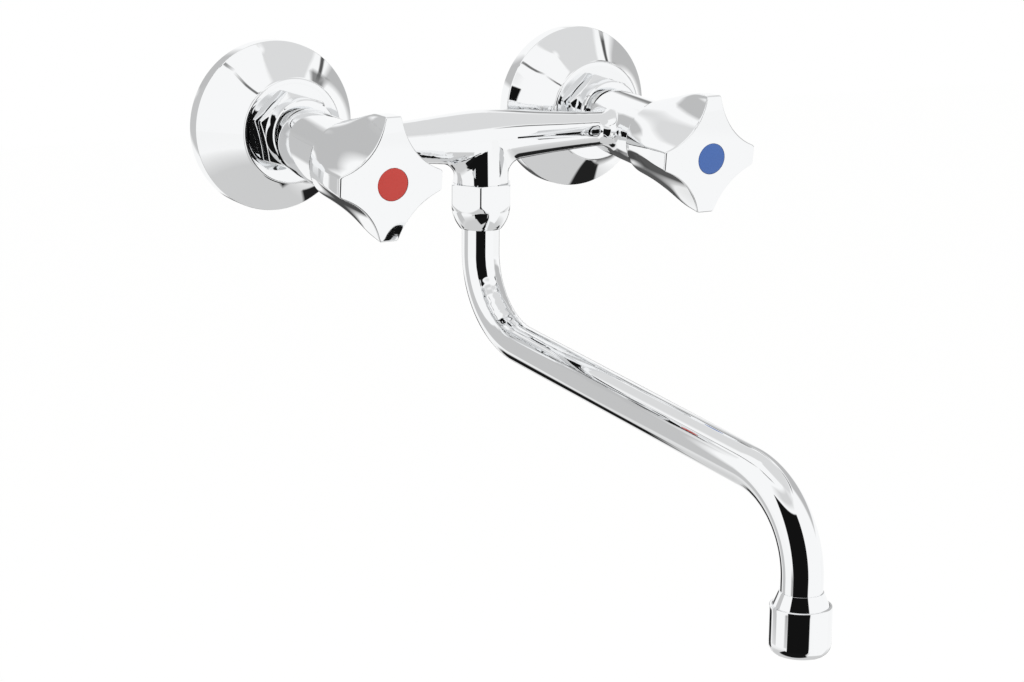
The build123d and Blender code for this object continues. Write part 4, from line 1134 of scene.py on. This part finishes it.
def pipe_stations(bend):
    """Stations along the spout's line, from the joint to the nose.

    Each has its place across, its drop, its heading from straight down, and how far it is into
    a bend, which is negative in the second one.
    """
    top, first_bend, bottom = 26.0, 52.5, 151.52
    turn = math.pi / 2 - SLOPE
    across, down = bend * (1 - math.cos(turn)), bend * math.sin(turn)
    run = (REACH - 2 * across) / math.cos(SLOPE)
    bend_shares = np.linspace(0, 1, 73)[1:]
    stations = [(0.0, top + (first_bend - top) * t, 0.0, 0.0) for t in np.linspace(0, 1, 12)]
    for t in bend_shares:
        a = turn * t
        x, drop = bend * (1 - math.cos(a)), first_bend + bend * math.sin(a)
        stations.append((x, drop, a, math.sin(math.pi * t)))
    start_x, start_drop = across, first_bend + down
    for t in np.linspace(0, 1, 31)[1:]:
        x, drop = start_x + run * t * math.cos(SLOPE), start_drop + run * t * math.sin(SLOPE)
        stations.append((x, drop, turn, 0.0))
    start_x, start_drop = stations[-1][:2]
    for t in bend_shares:
        a = turn * (1 - t)
        x = start_x + bend * (math.cos(a) - math.cos(turn))
        drop = start_drop + bend * (math.sin(turn) - math.sin(a))
        stations.append((x, drop, a, -math.sin(math.pi * t)))
    x, start_drop = stations[-1][:2]
    for t in np.linspace(0, 1, 6)[1:]:
        stations.append((x, start_drop + (bottom - start_drop) * t, 0.0, 0.0))
    return stations


class TAP_OT_spout_pipe(bpy.types.Operator):
    """Bend the spout pipe along its line, with the faint waves that a bender leaves"""

    bl_idname = "tap.spout_pipe"
    bl_label = "Spout pipe"

    def execute(self, context):
        sizes = context.scene.tap_spout
        bend, ripple = sizes.bend_radius / MM, sizes.ripple / MM
        ripple_pitch, flattening = 5.0, 0.10
        turns = full_turn(96)
        swing = Vector((math.sin(SWING), -math.cos(SWING), 0))
        side = Vector((math.cos(SWING), math.sin(SWING), 0))
        rows_out, rows_in = [], []
        for x, drop, heading, into in pipe_stations(bend):
            centre = Vector((0, -BAR_DEPTH, INLET_LEVEL)) + swing * x + Vector((0, 0, -drop))
            # The normal in the swing plane points to the bend's inner side for the first bend
            normal = swing * math.cos(heading) + Vector((0, 0, 1)) * math.sin(heading)
            inner_side = np.cos(turns) * (1 if into >= 0 else -1)
            wave = 0.5 - 0.5 * math.cos(heading * bend / ripple_pitch * 2 * math.pi)
            waves = ripple * wave * np.clip(inner_side, 0, 1) ** 3
            squeeze = abs(into) * (flattening * np.cos(turns) ** 2 + waves)
            for radius, rows in ((PIPE_RADIUS, rows_out), (PIPE_BORE, rows_in)):
                radii = radius - squeeze
                points = [
                    centre + normal * float(r * math.cos(t)) + side * float(r * math.sin(t))
                    for r, t in zip(radii, turns)
                ]
                rows.append(np.array(points))
        obj = turned("spout_pipe_bent", rows_out + rows_in[::-1], Matrix.Identity(4))
        finish_piece(obj, "spout", "pipe_chrome", "spout_tube")
        return {"FINISHED"}


class TAP_OT_outlet(bpy.types.Operator):
    """Turn the nose and the aerator housing, with softened edges"""

    bl_idname = "tap.outlet"
    bl_label = "Outlet"

    def execute(self, context):
        turns = full_turn(160)
        nose = eased(
            [
                (8.02, 147.42), (8.3, 147.42, 0.1), (10.65, 153.02, 0.25), (10.65, 160.52, 0.2),
                (8.4, 160.52), (8.4, 153.52), (7.0, 151.54), (8.02, 151.54),
            ]
        )
        obj = turned("spout_nose_turned", plain_rows(nose, turns), outlet())
        finish_piece(obj, "spout", "pipe_chrome", "spout_nose")
        housing = [(10.68, 152.62), (11.3, 152.62)]
        housing += arc((11.3, 152.62), (11.53, 152.74), (11.65, 153.0), 5)
        housing += line((11.65, 153.0), (11.65, 167.42), 10)
        housing += arc((11.65, 167.42), (11.09, 169.17), (9.5, 170.92), 12)
        housing += [(9.0, 170.92), (8.5, 170.92), (8.4, 170.8), (8.4, 169.32)]
        housing += [(9.4, 169.32), (9.4, 163.62), (10.68, 163.62)]
        obj = turned("aerator_housing_turned", plain_rows(housing, turns), outlet())
        finish_piece(obj, "spout", "cast_chrome", "aerator_housing")
        return {"FINISHED"}


def gauze_tree(material):
    """Geometry nodes for a round gauze: two layers of parallel wires, cut to the circle."""
    tree = bpy.data.node_groups.new("round_gauze", "GeometryNodeTree")
    face = tree.interface
    for label in ("Radius", "Pitch", "Wire"):
        face.new_socket(label, in_out="INPUT", socket_type="NodeSocketFloat")
    face.new_socket("Geometry", in_out="OUTPUT", socket_type="NodeSocketGeometry")
    given = add(tree, "NodeGroupInput")
    radius, pitch, wire = (given.outputs[n] for n in ("Radius", "Pitch", "Wire"))
    across = add(tree, "ShaderNodeMath", {"operation": "DIVIDE"}, {0: radius, 1: pitch})
    half = add(tree, "ShaderNodeMath", {"operation": "FLOOR"}, {0: across})
    count = add(tree, "ShaderNodeMath", {"operation": "MULTIPLY_ADD", 1: 2.0, 2: 1.0}, {0: half})
    start = add(tree, "ShaderNodeMath", {"operation": "MULTIPLY"}, {0: half, 1: pitch})
    minus = add(tree, "ShaderNodeMath", {"operation": "MULTIPLY", 1: -1.0}, {0: start})
    first = add(tree, "ShaderNodeCombineXYZ", links={"X": minus})
    step = add(tree, "ShaderNodeCombineXYZ", links={"X": pitch})
    placed = {"Count": count, "Start Location": first, "Offset": step}
    row = add(tree, "GeometryNodeMeshLine", links=placed)
    # One wire along Y, as long as the circle is wide, shortened where the chord is shorter
    end_low = add(tree, "ShaderNodeMath", {"operation": "MULTIPLY", 1: -1.0}, {0: radius})
    low = add(tree, "ShaderNodeCombineXYZ", links={"Y": end_low})
    high = add(tree, "ShaderNodeCombineXYZ", links={"Y": radius})
    rod = add(tree, "GeometryNodeCurvePrimitiveLine", links={"Start": low, "End": high})
    thick = add(tree, "ShaderNodeMath", {"operation": "MULTIPLY", 1: 0.5}, {0: wire})
    circle = add(tree, "GeometryNodeCurvePrimitiveCircle", {"Resolution": 6}, {"Radius": thick})
    swept = add(
        tree,
        "GeometryNodeCurveToMesh",
        {"Fill Caps": True},
        {"Curve": rod, "Profile Curve": circle},
    )
    place_of = add(tree, "GeometryNodeInputPosition")
    parts = add(tree, "ShaderNodeSeparateXYZ", links={0: place_of})
    share = add(tree, "ShaderNodeMath", {"operation": "DIVIDE"}, {0: parts.outputs["X"], 1: radius})
    square = add(tree, "ShaderNodeMath", {"operation": "MULTIPLY"}, {0: share, 1: share})
    rest = add(tree, "ShaderNodeMath", {"operation": "SUBTRACT", 0: 1.0}, {1: square})
    chord = add(tree, "ShaderNodeMath", {"operation": "SQRT"}, {0: rest})
    scale = add(tree, "ShaderNodeCombineXYZ", {"X": 1.0, "Z": 1.0}, {"Y": chord})
    wires = add(
        tree,
        "GeometryNodeInstanceOnPoints",
        links={"Points": row, "Instance": swept, "Scale": scale},
    )
    real = add(tree, "GeometryNodeRealizeInstances", links={0: wires})
    lift = add(tree, "ShaderNodeCombineXYZ", links={"Z": wire})
    crossed = add(
        tree,
        "GeometryNodeTransform",
        {"Rotation": (0, 0, math.pi / 2)},
        {"Geometry": real, "Translation": lift},
    )
    both = add(tree, "GeometryNodeJoinGeometry")
    tree.links.new(real.outputs[0], both.inputs[0])
    tree.links.new(crossed.outputs[0], both.inputs[0])
    solid = add(tree, "GeometryNodeRealizeInstances", links={0: both})
    dressed = add(tree, "GeometryNodeSetMaterial", {"Material": material}, {"Geometry": solid})
    add(tree, "NodeGroupOutput", links={0: dressed})
    return tree


class TAP_OT_gauze(bpy.types.Operator):
    """Weave the fine wire gauze in the mouth of the aerator"""

    bl_idname = "tap.gauze"
    bl_label = "Aerator gauze"

    def execute(self, context):
        sizes = context.scene.tap_spout
        radius, depth = 8.3, 170.0
        tree = gauze_tree(finish("steel"))
        holder = bpy.data.objects.new("gauze_base", bpy.data.meshes.new("gauze_base"))
        context.scene.collection.objects.link(holder)
        modifier = holder.modifiers.new("gauze", "NODES")
        modifier.node_group = tree
        values = {"Radius": radius * MM, "Pitch": sizes.gauze_pitch, "Wire": sizes.gauze_wire}
        for item in tree.interface.items_tree:
            if item.item_type == "SOCKET" and item.in_out == "INPUT":
                modifier[item.identifier] = values[item.name]
        context.view_layer.update()
        evaluated = holder.evaluated_get(context.evaluated_depsgraph_get())
        mesh = bpy.data.meshes.new_from_object(evaluated)
        holder.modifiers.clear()
        bpy.data.objects.remove(holder)
        if not len(mesh.polygons):
            raise RuntimeError("the gauze came out empty")
        matrix = outlet()
        matrix = Matrix.Translation(matrix.translation * MM) @ matrix.to_3x3().to_4x4()
        mesh.transform(matrix @ Matrix.Translation((0, 0, depth * MM)))
        mesh.name = "aerator_gauze"
        obj = bpy.data.objects.new("aerator_gauze", mesh)
        context.scene.collection.objects.link(obj)
        finish_piece(obj, "spout", "steel")
        return {"FINISHED"}


class TAP_OT_stage(bpy.types.Operator):
    """Set up the pale floor, the studio cloths, the white room, the soft lamps and the camera"""

    bl_idname = "tap.stage"
    bl_label = "Stage"

    def execute(self, context):
        sizes = context.scene.tap_stage
        context.scene.view_settings.view_transform = "Standard"
        lay_floor(sizes.floor_level)
        # A light tent of half a metre round the tap. Its flags and grey cloths are seen only by
        # the mirror of the chrome: neither the camera nor matt surfaces meet them.
        steps = sizes.cloth_steps
        for label, tone, soft, corners in TENT:
            hang_cloth(label, tone, tent_patch(corners, steps, soft), steps)
        for label, tone, soft, height, corners in LOW_FLAGS:
            points = [(*spot, height) for spot in cloth_grid(corners, steps, soft)]
            hang_cloth(label, tone, points, steps)
        light_room()
        hang_lamps(sizes.light)
        set_camera()
        return {"FINISHED"}


class TAP_PT_tools(bpy.types.Panel):
    """Lists the steps that dress the tap"""

    bl_label = "Wall Mixer Tap"
    bl_idname = "TAP_PT_tools"
    bl_space_type = "VIEW_3D"
    bl_region_type = "UI"
    bl_category = "Tap"

    def draw(self, context):
        scene = context.scene
        for step in STEPS:
            self.layout.operator(step.bl_idname)
        for name, _ in GROUPS:
            group = getattr(scene, name)
            box = self.layout.box()
            for key in group.bl_rna.properties.keys():
                if key not in ("rna_type", "name"):
                    box.prop(group, key)


GROUPS = (
    ("tap_handles", HandleSizes),
    ("tap_wall", WallSizes),
    ("tap_spout", SpoutSizes),
    ("tap_finishes", FinishSizes),
    ("tap_stage", StageSizes),
)
STEPS = (
    TAP_OT_finishes,
    TAP_OT_stage,
    TAP_OT_rosettes,
    TAP_OT_unions,
    TAP_OT_union_nuts,
    TAP_OT_handles,
    TAP_OT_index_discs,
    TAP_OT_spout_nut,
    TAP_OT_spout_pipe,
    TAP_OT_outlet,
    TAP_OT_gauze,
)


def register():
    for name, group in GROUPS:
        bpy.utils.register_class(group)
        setattr(bpy.types.Scene, name, PointerProperty(type=group))
    for step in STEPS:
        bpy.utils.register_class(step)
    bpy.utils.register_class(TAP_PT_tools)


def unregister():
    bpy.utils.unregister_class(TAP_PT_tools)
    for step in reversed(STEPS):
        bpy.utils.unregister_class(step)
    for name, group in reversed(GROUPS):
        delattr(bpy.types.Scene, name)
        bpy.utils.unregister_class(group)


def main():
    register()
    bpy.ops.tap.finishes()
    bpy.ops.tap.stage()
    bpy.ops.tap.rosettes()
    bpy.ops.tap.unions()
    bpy.ops.tap.union_nuts()
    bpy.ops.tap.handles()
    bpy.ops.tap.index_discs()
    bpy.ops.tap.spout_nut()
    bpy.ops.tap.spout_pipe()
    bpy.ops.tap.outlet()
    bpy.ops.tap.gauze()


if __name__ == "__main__":
    main()
